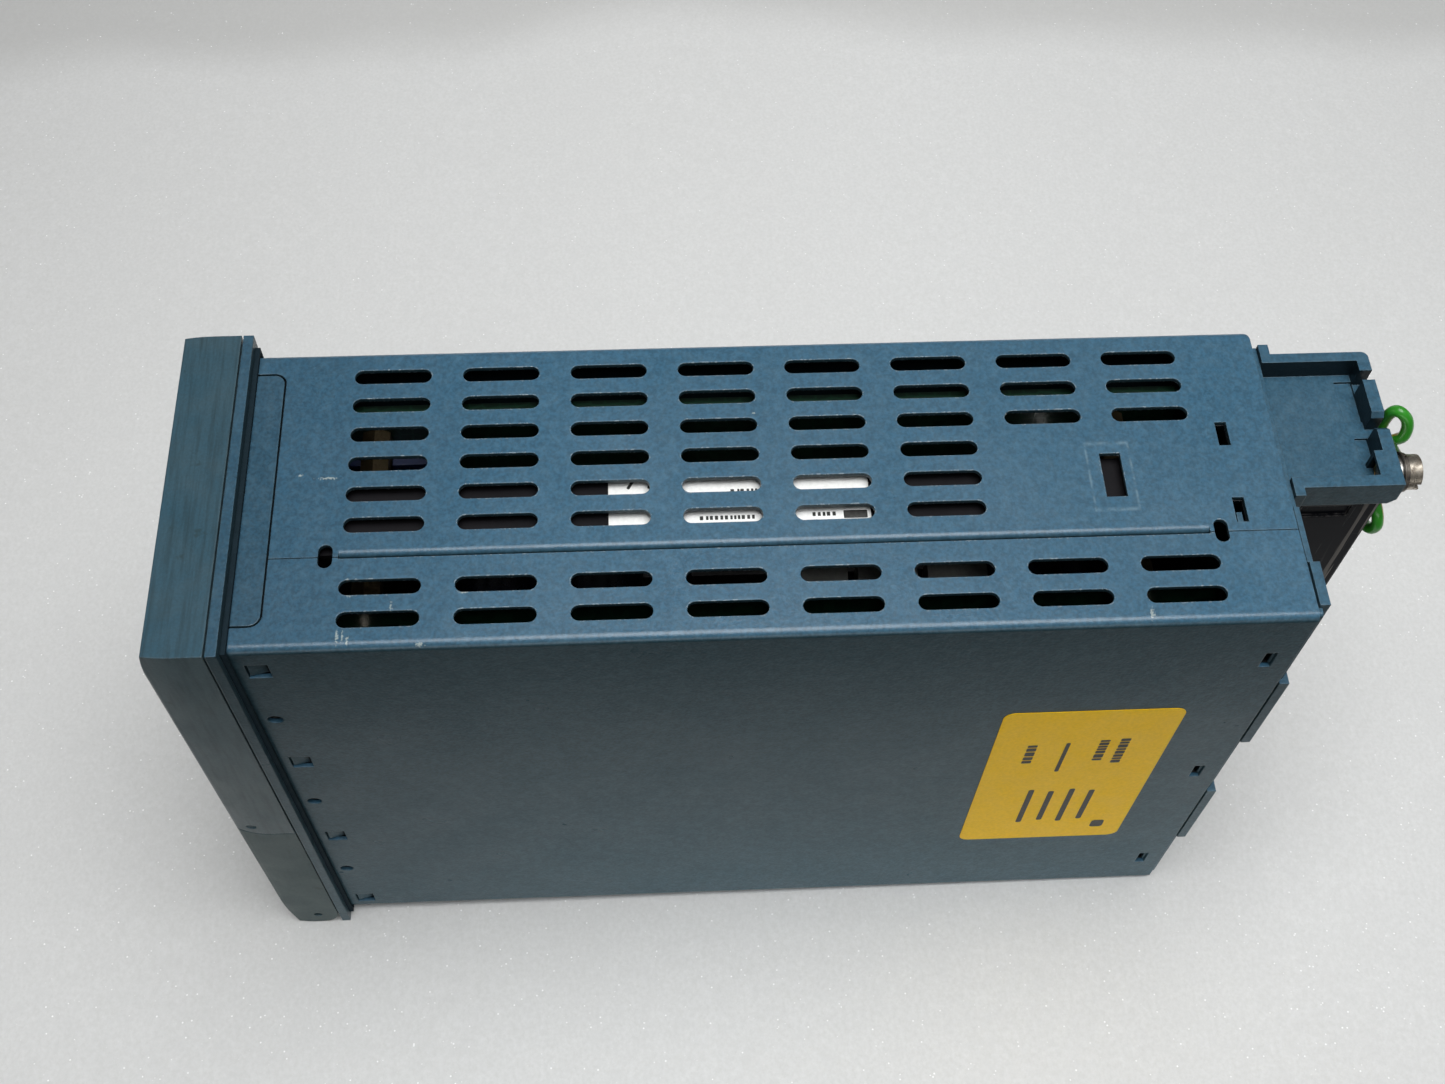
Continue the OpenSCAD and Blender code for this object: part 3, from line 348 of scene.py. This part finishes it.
def plain(name, base, rough=0.5, specular=0.5):
    """One colour with a fine grain and a little dirt."""
    g = Graph(name)
    fine = g.noise(900, 3.0, 0.6)
    color = g.mix(g.ramp(fine, 0.3, 0.7), shade(base, 0.88), shade(base, 1.12))
    color = g.mix(g.ramp(g.noise(120, 4.0, 0.6), 0.5, 0.75, 0.0, 0.15), color, shade(base, 0.45))
    r = g.ramp(g.noise(300, 3.0), 0.3, 0.7, rough - 0.08, rough + 0.08)
    g.finish(color, r, g.bump(fine, 0.12, 0.00004, g.rounded(0.00025)), specular=specular)


def metal(name, base, rough=0.32, stain=(0.10, 0.08, 0.06), amount=0.5, lines=0.25):
    """Metal with turning lines and stains."""
    g = Graph(name)
    stains = g.ramp(g.noise(420, 5.0, 0.65, 0.4), 0.48, 0.66, 0.0, amount)
    turned = g.noise(900, 2.0, 0.5, source=g.scaled(1.0, 6.0, 1.0))
    color = g.mix(g.ramp(turned, 0.35, 0.65), shade(base, 0.9), base)
    color = g.mix(stains, color, stain)
    r = g.math("ADD", g.ramp(turned, 0.3, 0.7, rough - 0.06, rough + 0.08), g.times(stains, 0.35))
    g.finish(color, r, g.bump(turned, lines, 0.00004, g.rounded(0.00025)), metallic=1.0)


def gloss_black(name, base):
    """Black plastic with fine scratches both ways, and long pale streaks down the cover's rear corner, part
    scuffs and part painted highlight.
    """
    g = Graph(name)
    scratch = g.noise(140, 6.0, 0.7, 0.3, source=g.scaled(1.0, 9.0, 0.35))
    cross = g.noise(200, 6.0, 0.7, 0.2, source=g.scaled(1.0, 0.5, 8.0))
    lines = g.highest(g.ramp(scratch, 0.62, 0.66), g.ramp(cross, 0.64, 0.68))
    color = g.mix(g.times(lines, 0.35), base, (0.10, 0.10, 0.10))
    # edge wear and painted highlight: the edges are lightened in patches
    edge_wear_and_highlight = g.times(g.edges(0.0005), g.ramp(g.noise(500, 4.0), 0.4, 0.6), 0.7)
    color = g.mix(edge_wear_and_highlight, color, (0.20, 0.19, 0.18))
    # scuffs and painted highlight: pale streaks down the rear corner
    strand = g.noise(700, 3.0, 0.6, source=g.scaled(1.0, 1.0, 0.03))
    corner_scuff_and_highlight = g.times(g.ramp(g.axis("Y"), cover.y - 0.0050, cover.y - 0.0010),
                     g.ramp(g.axis("X"), cover.x - 0.0020, cover.x - 0.0006))
    color = g.mix(g.times(g.ramp(strand, 0.56, 0.60), corner_scuff_and_highlight, 0.6), color, (0.26, 0.24, 0.22))
    rough = g.ramp(lines, 0.0, 1.0, 0.3, 0.5)
    normal = g.bump(g.noise(500, 3.0), 0.15, 0.00005, g.rounded(0.0007))
    g.finish(color, rough, normal, specular=0.04)


def board_mask(name, base):
    """Solder mask with tracks and pads showing through."""
    g = Graph(name)
    tracks = g.ramp(g.voronoi(330, "DISTANCE_TO_EDGE", randomness=0.35), 0.06, 0.09, 1.0, 0.0)
    color = g.mix(g.times(tracks, 0.6), base, shade(base, 2.2))
    pads = g.ramp(g.voronoi(400, randomness=0.15), 0.14, 0.18, 1.0, 0.0)
    color = g.mix(g.times(pads, 0.5), color, (0.20, 0.20, 0.18))
    g.finish(color, 0.35, g.bump(tracks, 0.3, 0.00005, g.rounded(0.0002)))


def wire_skin(name, base):
    """Smooth insulation, a little smeared."""
    g = Graph(name)
    color = g.mix(g.ramp(g.noise(260, 4.0, 0.6), 0.4, 0.7, 0.0, 0.5), base, shade(base, 0.55))
    g.finish(color, 0.3, g.bump(g.noise(900, 2.0), 0.2, 0.00004))


def print_ink(name, base):
    """Print, paler where it is thin."""
    g = Graph(name)
    fine = g.noise(1400, 3.0, 0.6)
    color = g.mix(g.ramp(fine, 0.35, 0.65), base, [c * 1.6 + 0.01 for c in base])
    g.finish(color, 0.5, g.bump(fine, 0.1, 0.00002))


def film(name, base, marks, dirt=0.2):
    """A stuck-on label, marked by dirt and darker along its edges."""
    g = Graph(name)
    fine = g.noise(1300, 3.0, 0.6)
    color = g.mix(g.ramp(fine, 0.35, 0.65), shade(base, 0.95), shade(base, 1.05))
    color = g.mix(g.ramp(g.noise(70, 5.0, 0.65), 0.45, 0.75, 0.0, dirt), color, marks)
    color = g.mix(g.times(g.edges(0.0008, 0.01, 0.2), 0.4), color, marks)
    rough = g.ramp(g.noise(200, 3.0), 0.3, 0.7, 0.29, 0.45)
    g.finish(color, rough, g.bump(fine, 0.12, 0.00003), specular=0.12)


def smoked(name, tint):
    """A clear tinted window."""
    g = Graph(name)
    haze = g.noise(500, 4.0, 0.6)
    g.bsdf.inputs["Transmission Weight"].default_value = 0.97
    color = g.mix(g.ramp(haze, 0.3, 0.7, 0.0, 0.3), tint, shade(tint, 0.8))
    g.finish(color, g.ramp(haze, 0.3, 0.7, 0.01, 0.04), g.bump(haze, 0.03, 0.00002))


powder_coat("painted_sheet", (0.042, 0.130, 0.212), (0.045, 0.099, 0.127), wear_and_glints_on_top=True)
powder_coat("blue_moulding", (0.034, 0.106, 0.170), (0.052, 0.105, 0.132))
moulding("front_moulding", (0.026, 0.074, 0.106), (0.044, 0.076, 0.088))
moulding("flap_moulding", (0.034, 0.076, 0.096), (0.042, 0.070, 0.072), (0.4, 0.55), 0.2)
plain("seal_rubber", (0.008, 0.018, 0.025), 0.7, specular=0.1)
gloss_black("black_plastic", (0.0035, 0.004, 0.006))
plain("black_matte", (0.006, 0.0055, 0.007), 0.6, specular=0.15)
plain("overlay", (0.012, 0.014, 0.017), 0.3)
smoked("lens", (0.62, 0.16, 0.13))
plain("display", (0.035, 0.008, 0.008), 0.4)
plain("segment", (0.42, 0.06, 0.045), 0.3)
print_ink("print_pale", (0.42, 0.45, 0.46))
print_ink("ink_dark", (0.018, 0.018, 0.016))
plain("key_green", (0.05, 0.20, 0.08), 0.42)
plain("key_yellow", (0.55, 0.38, 0.06), 0.42)
plain("key_red", (0.38, 0.05, 0.04), 0.42)
plain("key_grey", (0.34, 0.36, 0.36), 0.42)
metal("screw_steel", (0.50, 0.45, 0.38), stain=(0.07, 0.05, 0.035), amount=0.85, lines=0.4)
metal("washer_steel", (0.16, 0.145, 0.13), 0.42, amount=0.8)
metal("brass", (0.60, 0.44, 0.20), 0.3, stain=(0.12, 0.07, 0.03))
metal("dull_brass", (0.09, 0.07, 0.04), 0.5, stain=(0.03, 0.02, 0.015))
metal("tin", (0.62, 0.60, 0.57), 0.3, amount=0.2)
wire_skin("wire_green", (0.030, 0.26, 0.018))
wire_skin("wire_yellow", (0.30, 0.25, 0.02))
film("label_yellow", (0.92, 0.56, 0.004), (0.66, 0.40, 0.012), dirt=0.14)
film("label_white", (0.92, 0.92, 0.90), (0.6, 0.58, 0.5))
# painted shade: the board's green is darkened for the shade inside the case
board_mask("board", (0.003, 0.016, 0.008))
plain("chip_black", (0.012, 0.012, 0.012))
plain("switch_blue", (0.007, 0.014, 0.05), 0.4)
metal("cell_steel", (0.65, 0.65, 0.63), 0.2, amount=0.1)
plain("ribbon_grey", (0.16, 0.16, 0.16))
metal("lamination", (0.16, 0.16, 0.165), 0.45, amount=0.3)
# painted shade: the transformer tape and capacitor sleeves are darkened for the shade inside the case
plain("copper_tape", (0.10, 0.05, 0.015), 0.4)
plain("capacitor_sleeve", (0.008, 0.010, 0.022), 0.3)
metal("bare_aluminium", (0.62, 0.62, 0.62), 0.38, amount=0.15)
plain("fuse_glass", (0.6, 0.62, 0.62), 0.15)
plain("ferrite", (0.035, 0.028, 0.022), 0.6, specular=0.2)
plain("relay_white", (0.30, 0.30, 0.28), 0.35)

# nodes that look different from the rest of their slot
OWN_FINISH = {"flap": "flap_moulding", "board_spacers": "dull_brass"}

slot_of = {s["node"]: s["material_slot"] for s in frame["record"]["subparts"]}
for name, obj in nodes.items():
    obj.data.materials.clear()
    obj.data.materials.append(MATS[OWN_FINISH.get(name, slot_of[name])])


# ---------------------------------------------------------------- print
X, Y, Z = (1, 0, 0), (0, 1, 0), (0, 0, 1)
DOWN = (0, 0, -1)
FRONT = (0, -1, 0)
# how far print stands off its surface
LABEL_INK = 0.00004
FRONT_INK = 0.00003

# margin at each end of a bargraph, and its segments
BARGRAPH_END = 0.0012
BARGRAPH_STEPS = 50
TICKS = 10

# the numeric display's digits, and the tag display's dot cells
DIGITS, DIGIT_W, DIGIT_H = 5, 0.0042, 0.0078
STROKE = 0.0007
SLANT = 0.12
CELLS, CELL_COLUMNS, CELL_ROWS = 8, 5, 7
DOT = 0.0006
DOT_PITCH = (0.00095, 0.00105)


def new_mesh(name, bm, materials, body, smooth=False, stand_for=()):
    """Makes a piece of the mesh, which rides on a body and may stand for CAD nodes."""
    mesh = bpy.data.meshes.new(name)
    bm.normal_update()
    bm.to_mesh(mesh)
    bm.free()
    for m in materials:
        mesh.materials.append(MATS[m])
    for p in mesh.polygons:
        p.use_smooth = smooth
    obj = bpy.data.objects.new(name, mesh)
    bpy.context.scene.collection.objects.link(obj)
    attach(obj, body)
    if stand_for:
        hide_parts(*stand_for)


def flat_face(bm, points, normal):
    """A face through the points, turned to look along the normal."""
    f = bm.faces.new([bm.verts.new(p) for p in points])
    f.normal_update()
    if f.normal.dot(Vector(normal)) < 0:
        f.normal_flip()


def bar(bm, origin, u, v, w, h, normal, lift, r, segments=5):
    """A flat round-cornered patch on a surface: w along u and h along v, centred on origin."""
    pts = []
    for cx, cy, a0 in ((1, 1, 0), (-1, 1, 90), (-1, -1, 180), (1, -1, 270)):
        for i in range(segments + 1):
            a = math.radians(a0 + 90 * i / segments)
            pts.append((cx * (w / 2 - r) + r * math.cos(a), cy * (h / 2 - r) + r * math.sin(a)))
    n = Vector(normal) * lift
    flat_face(bm, [Vector(origin) + Vector(u) * x + Vector(v) * y + n for x, y in pts], normal)


def front_bar(bm, x, y, z, w, h, r, segments=2):
    """A bar on the front: w across and h up."""
    bar(bm, (x, y, z), X, Z, w, h, FRONT, FRONT_INK, r, segments)


def label_print():
    """Rating label: plain bars in place of its lettering, in rows that run down it."""
    bm = bmesh.new()
    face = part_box("rating_label")[1].x

    def mark(y, z, length, width, r):
        bar(bm, (face, y, z), DOWN, Y, length, width, X, LABEL_INK, r)

    for y, z, last in ((0.1755, 0.0180, 0.0060), (0.1712, 0.0175, 0.0075), (0.1560, 0.0160, 0.0080)):
        while z > last:
            step = random.uniform(0.0011, 0.0026)
            mark(y, z - step / 2, step * 0.8, 0.0021, 0.0003)
            z -= step
    mark(0.1635, 0.0090, 0.0150, 0.0009, 0.0004)
    for k in range(4):
        mark(0.1600 + k * 0.0046, -0.0180, 0.0190 - 0.002 * (k % 2), 0.0013, 0.0005)
    mark(0.1790, -0.0300, 0.0040, 0.0030, 0.0008)
    new_mesh("label_print", bm, ["ink_dark"], "sleeve")


def inner_print():
    """White label inside: two strokes, rows of small marks, a line and a bar."""
    bm = bmesh.new()
    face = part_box("chassis_label")[1].z

    def mark(x, y, length, width, r):
        bar(bm, (x, y, face), Y, X, length, width, Z, LABEL_INK, r)

    for y in (0.0735, 0.0775):
        bar(bm, (-0.0022, y, face), (0.5, 0.87, 0), (0.87, -0.5, 0), 0.0006, 0.0030, Z, LABEL_INK, 0.0002)
    for x, y, last in ((0.0002, 0.0930, 0.0985), (0.0062, 0.0868, 0.0975), (0.0060, 0.1085, 0.1130)):
        while y < last:
            step = random.uniform(0.0007, 0.0012)
            mark(x, y, step * 0.6, 0.0009, 0.0001)
            y += step
    mark(0.0006, 0.1165, 0.0050, 0.0006, 0.0002)
    mark(0.0062, 0.1165, 0.0046, 0.0018, 0.0002)
    new_mesh("inner_print", bm, ["ink_dark"], "drawer")


def outline(bm, x, y, z, w, h, line):
    """A thin frame on the front: top and bottom, then both sides."""
    for side in (1, -1):
        front_bar(bm, x, y, z + side * h / 2, w, line, line * 0.4)
    for side in (1, -1):
        front_bar(bm, x + side * w / 2, y, z, line, h, line * 0.4)


def key_mark(k, x, face, z):
    """Keys 5 and 6 carry an arrow head up and down, the others a dash."""
    bm = bmesh.new()
    if k > 4:
        up = 1 if k == 5 else -1
        corners = ((x - 0.002, z - 0.0013 * up), (x + 0.002, z - 0.0013 * up), (x, z + 0.0018 * up))
        flat_face(bm, [(cx, face - FRONT_INK, cz) for cx, cz in corners], FRONT)
    else:
        front_bar(bm, x, face, z, 0.0044, 0.0007, 0.0003, 3)
    key = "key_%d" % k
    new_mesh("key_mark_%d" % k, bm, ["ink_dark"], key)


def front_print():
    """Frames round the keys, a plain mark on each key, and ticks beside the bargraphs."""
    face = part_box("fascia_overlay")[0].y
    bm = bmesh.new()
    margin = 0.0016
    for k in range(1, 7):
        a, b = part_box("key_%d" % k)
        x, z = (a.x + b.x) / 2, (a.z + b.z) / 2
        outline(bm, x, face, z, b.x - a.x + margin, b.z - a.z + margin, 0.00022)
        key_mark(k, x, a.y, z)
    for name in ("left_bargraph", "right_bargraph"):
        a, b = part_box(name)
        for i in range(TICKS + 1):
            z = a.z + BARGRAPH_END + i * (b.z - a.z - 2 * BARGRAPH_END) / TICKS
            tick = 0.0018 if i % 5 == 0 else 0.0011
            front_bar(bm, b.x + 0.0009 + tick / 2, face, z, tick, 0.00025, 0.00008)
    new_mesh("front_print", bm, ["print_pale"], "drawer")


def digit(bm, x, y, z):
    """Seven slanting segments and a point."""
    level = [(0, DIGIT_H / 2), (0, 0), (0, -DIGIT_H / 2)]
    upright = [(side * DIGIT_W / 2, end * DIGIT_H / 4) for end in (1, -1) for side in (1, -1)]
    for dx, dz in level:
        front_bar(bm, x + dx + dz * SLANT, y, z + dz, DIGIT_W * 0.82, STROKE, 0.0003, 3)
    for dx, dz in upright:
        front_bar(bm, x + dx + dz * SLANT, y, z + dz, STROKE, DIGIT_H / 2 * 0.84, 0.0003, 3)
    front_bar(bm, x + DIGIT_W / 2 + 0.0012, y, z - DIGIT_H / 2, 0.0008, 0.0008, 0.0004, 3)


def display_segments():
    """Unlit segments behind the smoked windows: digits, dot cells and bargraphs."""
    bm = bmesh.new()
    a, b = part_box("numeric_display")
    for k in range(DIGITS):
        digit(bm, a.x + (b.x - a.x) * (k + 0.5) / DIGITS, a.y, (a.z + b.z) / 2)
    a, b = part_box("tag_display")
    for cell in range(CELLS):
        for i in range(CELL_COLUMNS):
            for j in range(CELL_ROWS):
                x = a.x + (b.x - a.x) * (cell + 0.5) / CELLS + (i - CELL_COLUMNS // 2) * DOT_PITCH[0]
                z = (a.z + b.z) / 2 + (j - CELL_ROWS // 2) * DOT_PITCH[1]
                front_bar(bm, x, a.y, z, DOT, DOT, 0.00028)
    for name in ("left_bargraph", "right_bargraph"):
        a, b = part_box(name)
        for i in range(BARGRAPH_STEPS):
            z = a.z + BARGRAPH_END + (b.z - a.z - 2 * BARGRAPH_END) * (i + 0.5) / BARGRAPH_STEPS
            front_bar(bm, (a.x + b.x) / 2, a.y, z, b.x - a.x - 0.002, 0.00045, 0.0001)
    a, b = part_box("output_bargraph")
    for i in range(BARGRAPH_STEPS):
        x = a.x + BARGRAPH_END + (b.x - a.x - 2 * BARGRAPH_END) * (i + 0.5) / BARGRAPH_STEPS
        front_bar(bm, x, a.y, (a.z + b.z) / 2, 0.0007, b.z - a.z - 0.0018, 0.0001)
    new_mesh("display_segments", bm, ["segment"], "drawer")


label_print()
inner_print()
front_print()
display_segments()


# ---------------------------------------------------------------- earth wire
WIRE_R = 0.0012
WIRE = [  # mm: the middle of the wire, from the ring terminal round a loop into the cover
    (-4.8, 225.6, 63.6), (-6.6, 225.6, 62.94), (-8.4, 225.6, 62.3), (-9.9, 226.2, 61.8),
    (-10.2, 227.7, 62.2), (-9.6, 228.5, 64.1), (-10.0, 228.5, 66.7), (-10.7, 227.7, 68.8),
    (-11.6, 226.3, 69.8), (-12.4, 225.5, 69.0), (-12.9, 225.2, 66.7), (-13.0, 225.2, 64.0),
    (-12.4, 224.9, 60.0), (-9.6, 224.3, 57.2), (-5.6, 223.8, 55.6), (-1.8, 223.9, 54.6),
    (0.8, 224.4, 53.2), (1.8, 225.1, 51.0), (2.0, 225.5, 48.8), (1.3, 225.2, 46.8),
    (-0.6, 224.7, 45.5), (-3.2, 224.1, 44.9), (-5.2, 222.7, 44.8), (-6.0, 220.9, 44.8), (-6.0, 220.1, 44.8)]


def spline_points(points, steps):
    """A smooth curve through points in mm, as points in metres."""
    p = [Vector(q) * MM for q in points]
    out = []
    for i in range(len(p) - 1):
        a, b, c, d = p[max(i - 1, 0)], p[i], p[i + 1], p[min(i + 2, len(p) - 1)]
        for s in range(steps):
            t = s / steps
            curved = (2 * a - 5 * b + 4 * c - d) * t * t + (3 * b - a - 3 * c + d) * t ** 3
            out.append(0.5 * (2 * b + (c - a) * t + curved))
    out.append(p[-1])
    return out


def striped_tube(name, line, radius, body, sides=24, stripe=5, turn=3.4):
    """A round tube along the line; the first few of its sides are the stripe."""
    bm = bmesh.new()
    rings = []
    u = None
    for i, p in enumerate(line):
        t = (line[min(i + 1, len(line) - 1)] - line[max(i - 1, 0)]).normalized()
        u = t.cross(Vector(Z)).normalized() if u is None else (u - t * u.dot(t)).normalized()
        v = t.cross(u)
        angles = [2 * math.pi * k / sides + turn for k in range(sides)]
        rings.append([bm.verts.new(p + radius * (math.cos(a) * u + math.sin(a) * v)) for a in angles])
    for a, b in zip(rings, rings[1:]):
        for k in range(sides):
            f = bm.faces.new((a[k], a[(k + 1) % sides], b[(k + 1) % sides], b[k]))
            f.material_index = 1 if k < stripe else 0
    bm.faces.new(reversed(rings[0]))
    bm.faces.new(rings[-1])
    bmesh.ops.recalc_face_normals(bm, faces=bm.faces)
    skins = ["wire_green", "wire_yellow"]
    new_mesh(name, bm, skins, body, smooth=True, stand_for=("earth_wire",))


striped_tube("earth_wire_skin", spline_points(WIRE, 8), WIRE_R, "sleeve")


# ---------------------------------------------------------------- room
# the object rests on the lower edge of its bezel, at the seal, and that of its rear end: y and z of each
rear_low, rear_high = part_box("rear_panel")
BEZEL_FOOT = (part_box("panel_gasket")[0].y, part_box("front_frame")[0].z)
REAR_FOOT = (rear_high.y, rear_low.z)
FLOOR_NEAR, FLOOR_FAR, FLOOR_HALF, FLOOR_MIDDLE = 0.092, -1.3, 1.3, 0.1
FLOOR_STEPS = 70


def foam():
    """Pale foam, with glints that are thickest on the near side, and a few dark bits."""
    g = Graph("floor_foam")
    grain = g.noise(900, 4.0, 0.65)
    cell = g.noise(230, 4.0, 0.6, 0.3)
    color = g.mix(g.ramp(grain, 0.3, 0.7), (0.68, 0.68, 0.665), (0.77, 0.77, 0.765))
    color = g.mix(g.ramp(cell, 0.35, 0.7, 0.0, 0.35), color, (0.66, 0.66, 0.655))
    color = g.mix(g.ramp(g.noise(5, 4.0, 0.6), 0.35, 0.7, 0.0, 0.15), color, (0.60, 0.595, 0.575))
    # a little greyer along the far edge
    band = g.math("ADD", g.axis("X"), g.ramp(g.noise(4, 2.0), 0.3, 0.7, -0.02, 0.02))
    color = g.mix(g.ramp(band, -0.285, -0.255, 0.5, 0.0, True), color, (0.47, 0.465, 0.45))
    # and painted shade: dimmer towards both ends
    painted_dimming = g.times(g.ramp(g.axis("X"), 0.0, 0.09, 1.0, 0.99), g.ramp(g.axis("Y"), -0.16, 0.08, 0.87, 1.0),
                  g.ramp(g.axis("Y"), 0.16, 0.34, 1.0, 0.92))
    color = g.mix(painted_dimming, (0, 0, 0), color)
    glint = g.ramp(g.voronoi(620), 0.10, 0.17, 1.0, 0.0)
    near = g.ramp(g.axis("X"), -0.06, 0.06, 0.0, 0.05)
    spark = g.times(glint, g.ramp(g.math("ADD", g.noise(330, 2.0), near), 0.585, 0.63))
    color = g.mix(g.times(spark, 0.9), color, (1.0, 1.0, 1.0))
    bits = g.ramp(g.voronoi(34), 0.010, 0.016, 1.0, 0.0)
    color = g.mix(g.times(bits, 0.55), color, (0.12, 0.12, 0.12))
    height = g.math("ADD", g.times(grain, 0.5), cell)
    g.finish(color, g.ramp(spark, 0.0, 1.0, 0.75, 0.25), g.bump(height, 0.3, 0.0005))


def floor():
    """A sheet of foam that slopes with the object's feet and gets uneven away from it."""
    slope = (REAR_FOOT[1] - BEZEL_FOOT[1]) / (REAR_FOOT[0] - BEZEL_FOOT[0])
    clearance = 0.00005
    bm = bmesh.new()
    grid = {}
    for i in range(FLOOR_STEPS + 1):
        for j in range(FLOOR_STEPS + 1):
            x = FLOOR_FAR + (FLOOR_NEAR - FLOOR_FAR) * i / FLOOR_STEPS
            y = FLOOR_MIDDLE + FLOOR_HALF * (2 * j / FLOOR_STEPS - 1)
            away = min(1, max(0, (math.hypot(x, y - FLOOR_MIDDLE) - 0.22) / 0.25))
            dip = 0.0022 * noise.noise(Vector((x * 5, y * 2, 0.3))) * away
            z = BEZEL_FOOT[1] + (y - BEZEL_FOOT[0]) * slope - clearance + dip
            grid[i, j] = bm.verts.new((x, y, z))
    for i in range(FLOOR_STEPS):
        for j in range(FLOOR_STEPS):
            bm.faces.new((grid[i, j], grid[i + 1, j], grid[i + 1, j + 1], grid[i, j + 1]))
    mesh = bpy.data.meshes.new("floor")
    bm.to_mesh(mesh)
    bm.free()
    foam()
    mesh.materials.append(MATS["floor_foam"])
    for p in mesh.polygons:
        p.use_smooth = True
    obj = bpy.data.objects.new("floor", mesh)
    bpy.context.scene.collection.objects.link(obj)


WARM = (1.0, 0.99, 0.97)
LIGHTS = [  # name, place, target, size, power, colour
    ("ceiling", (0.12, 0.19, 1.15), (0.05, 0.12, 0), (0.85, 0.85), 15.5, (0.985, 0.995, 1.0)),
    ("front_fill", (-0.05, -1.5, 0.22), (0, 0, 0), (0.9, 0.5), 2.2, WARM),
    ("rear_fill", (-0.25, 1.8, 0.22), (0, 0.2, 0), (0.9, 0.5), 1.6, WARM),
    ("far_fill", (-1.5, 0.2, 0.16), (0, 0.1, 0), (1.1, 0.4), 2.0, WARM),
    ("pale_wall", (1.3, 0.05, 0.04), (0, 0.1, 0), (1.2, 0.34), 4.2, (1.0, 0.99, 0.96)),
]


def area(name, place, target, size, power, color):
    """A rectangular light turned to its target."""
    light = bpy.data.lights.new(name, "AREA")
    light.shape = "RECTANGLE"
    light.size, light.size_y = size
    light.energy = power
    light.color = color
    obj = bpy.data.objects.new(name, light)
    obj.location = place
    obj.rotation_euler = (Vector(target) - Vector(place)).to_track_quat("-Z", "Y").to_euler()
    bpy.context.scene.collection.objects.link(obj)


def room_light():
    """Pale light from all round, weak at the foot and stronger from above."""
    world = bpy.data.worlds.new("room")
    world.use_nodes = True
    tree = world.node_tree
    direction = tree.nodes.new("ShaderNodeTexCoord")
    split = tree.nodes.new("ShaderNodeSeparateXYZ")
    rise = tree.nodes.new("ShaderNodeMapRange")
    tree.links.new(direction.outputs["Generated"], split.inputs[0])
    tree.links.new(split.outputs[2], rise.inputs["Value"])
    for key, value in (("From Min", -0.1), ("From Max", 0.7), ("To Min", 0.02), ("To Max", 0.16)):
        rise.inputs[key].default_value = value
    background = tree.nodes["Background"]
    tree.links.new(rise.outputs[0], background.inputs["Strength"])
    background.inputs["Color"].default_value = (0.95, 0.975, 1.0, 1)
    bpy.context.scene.world = world


floor()
for values in LIGHTS:
    area(*values)
room_light()
bpy.context.scene.view_settings.view_transform = "Standard"
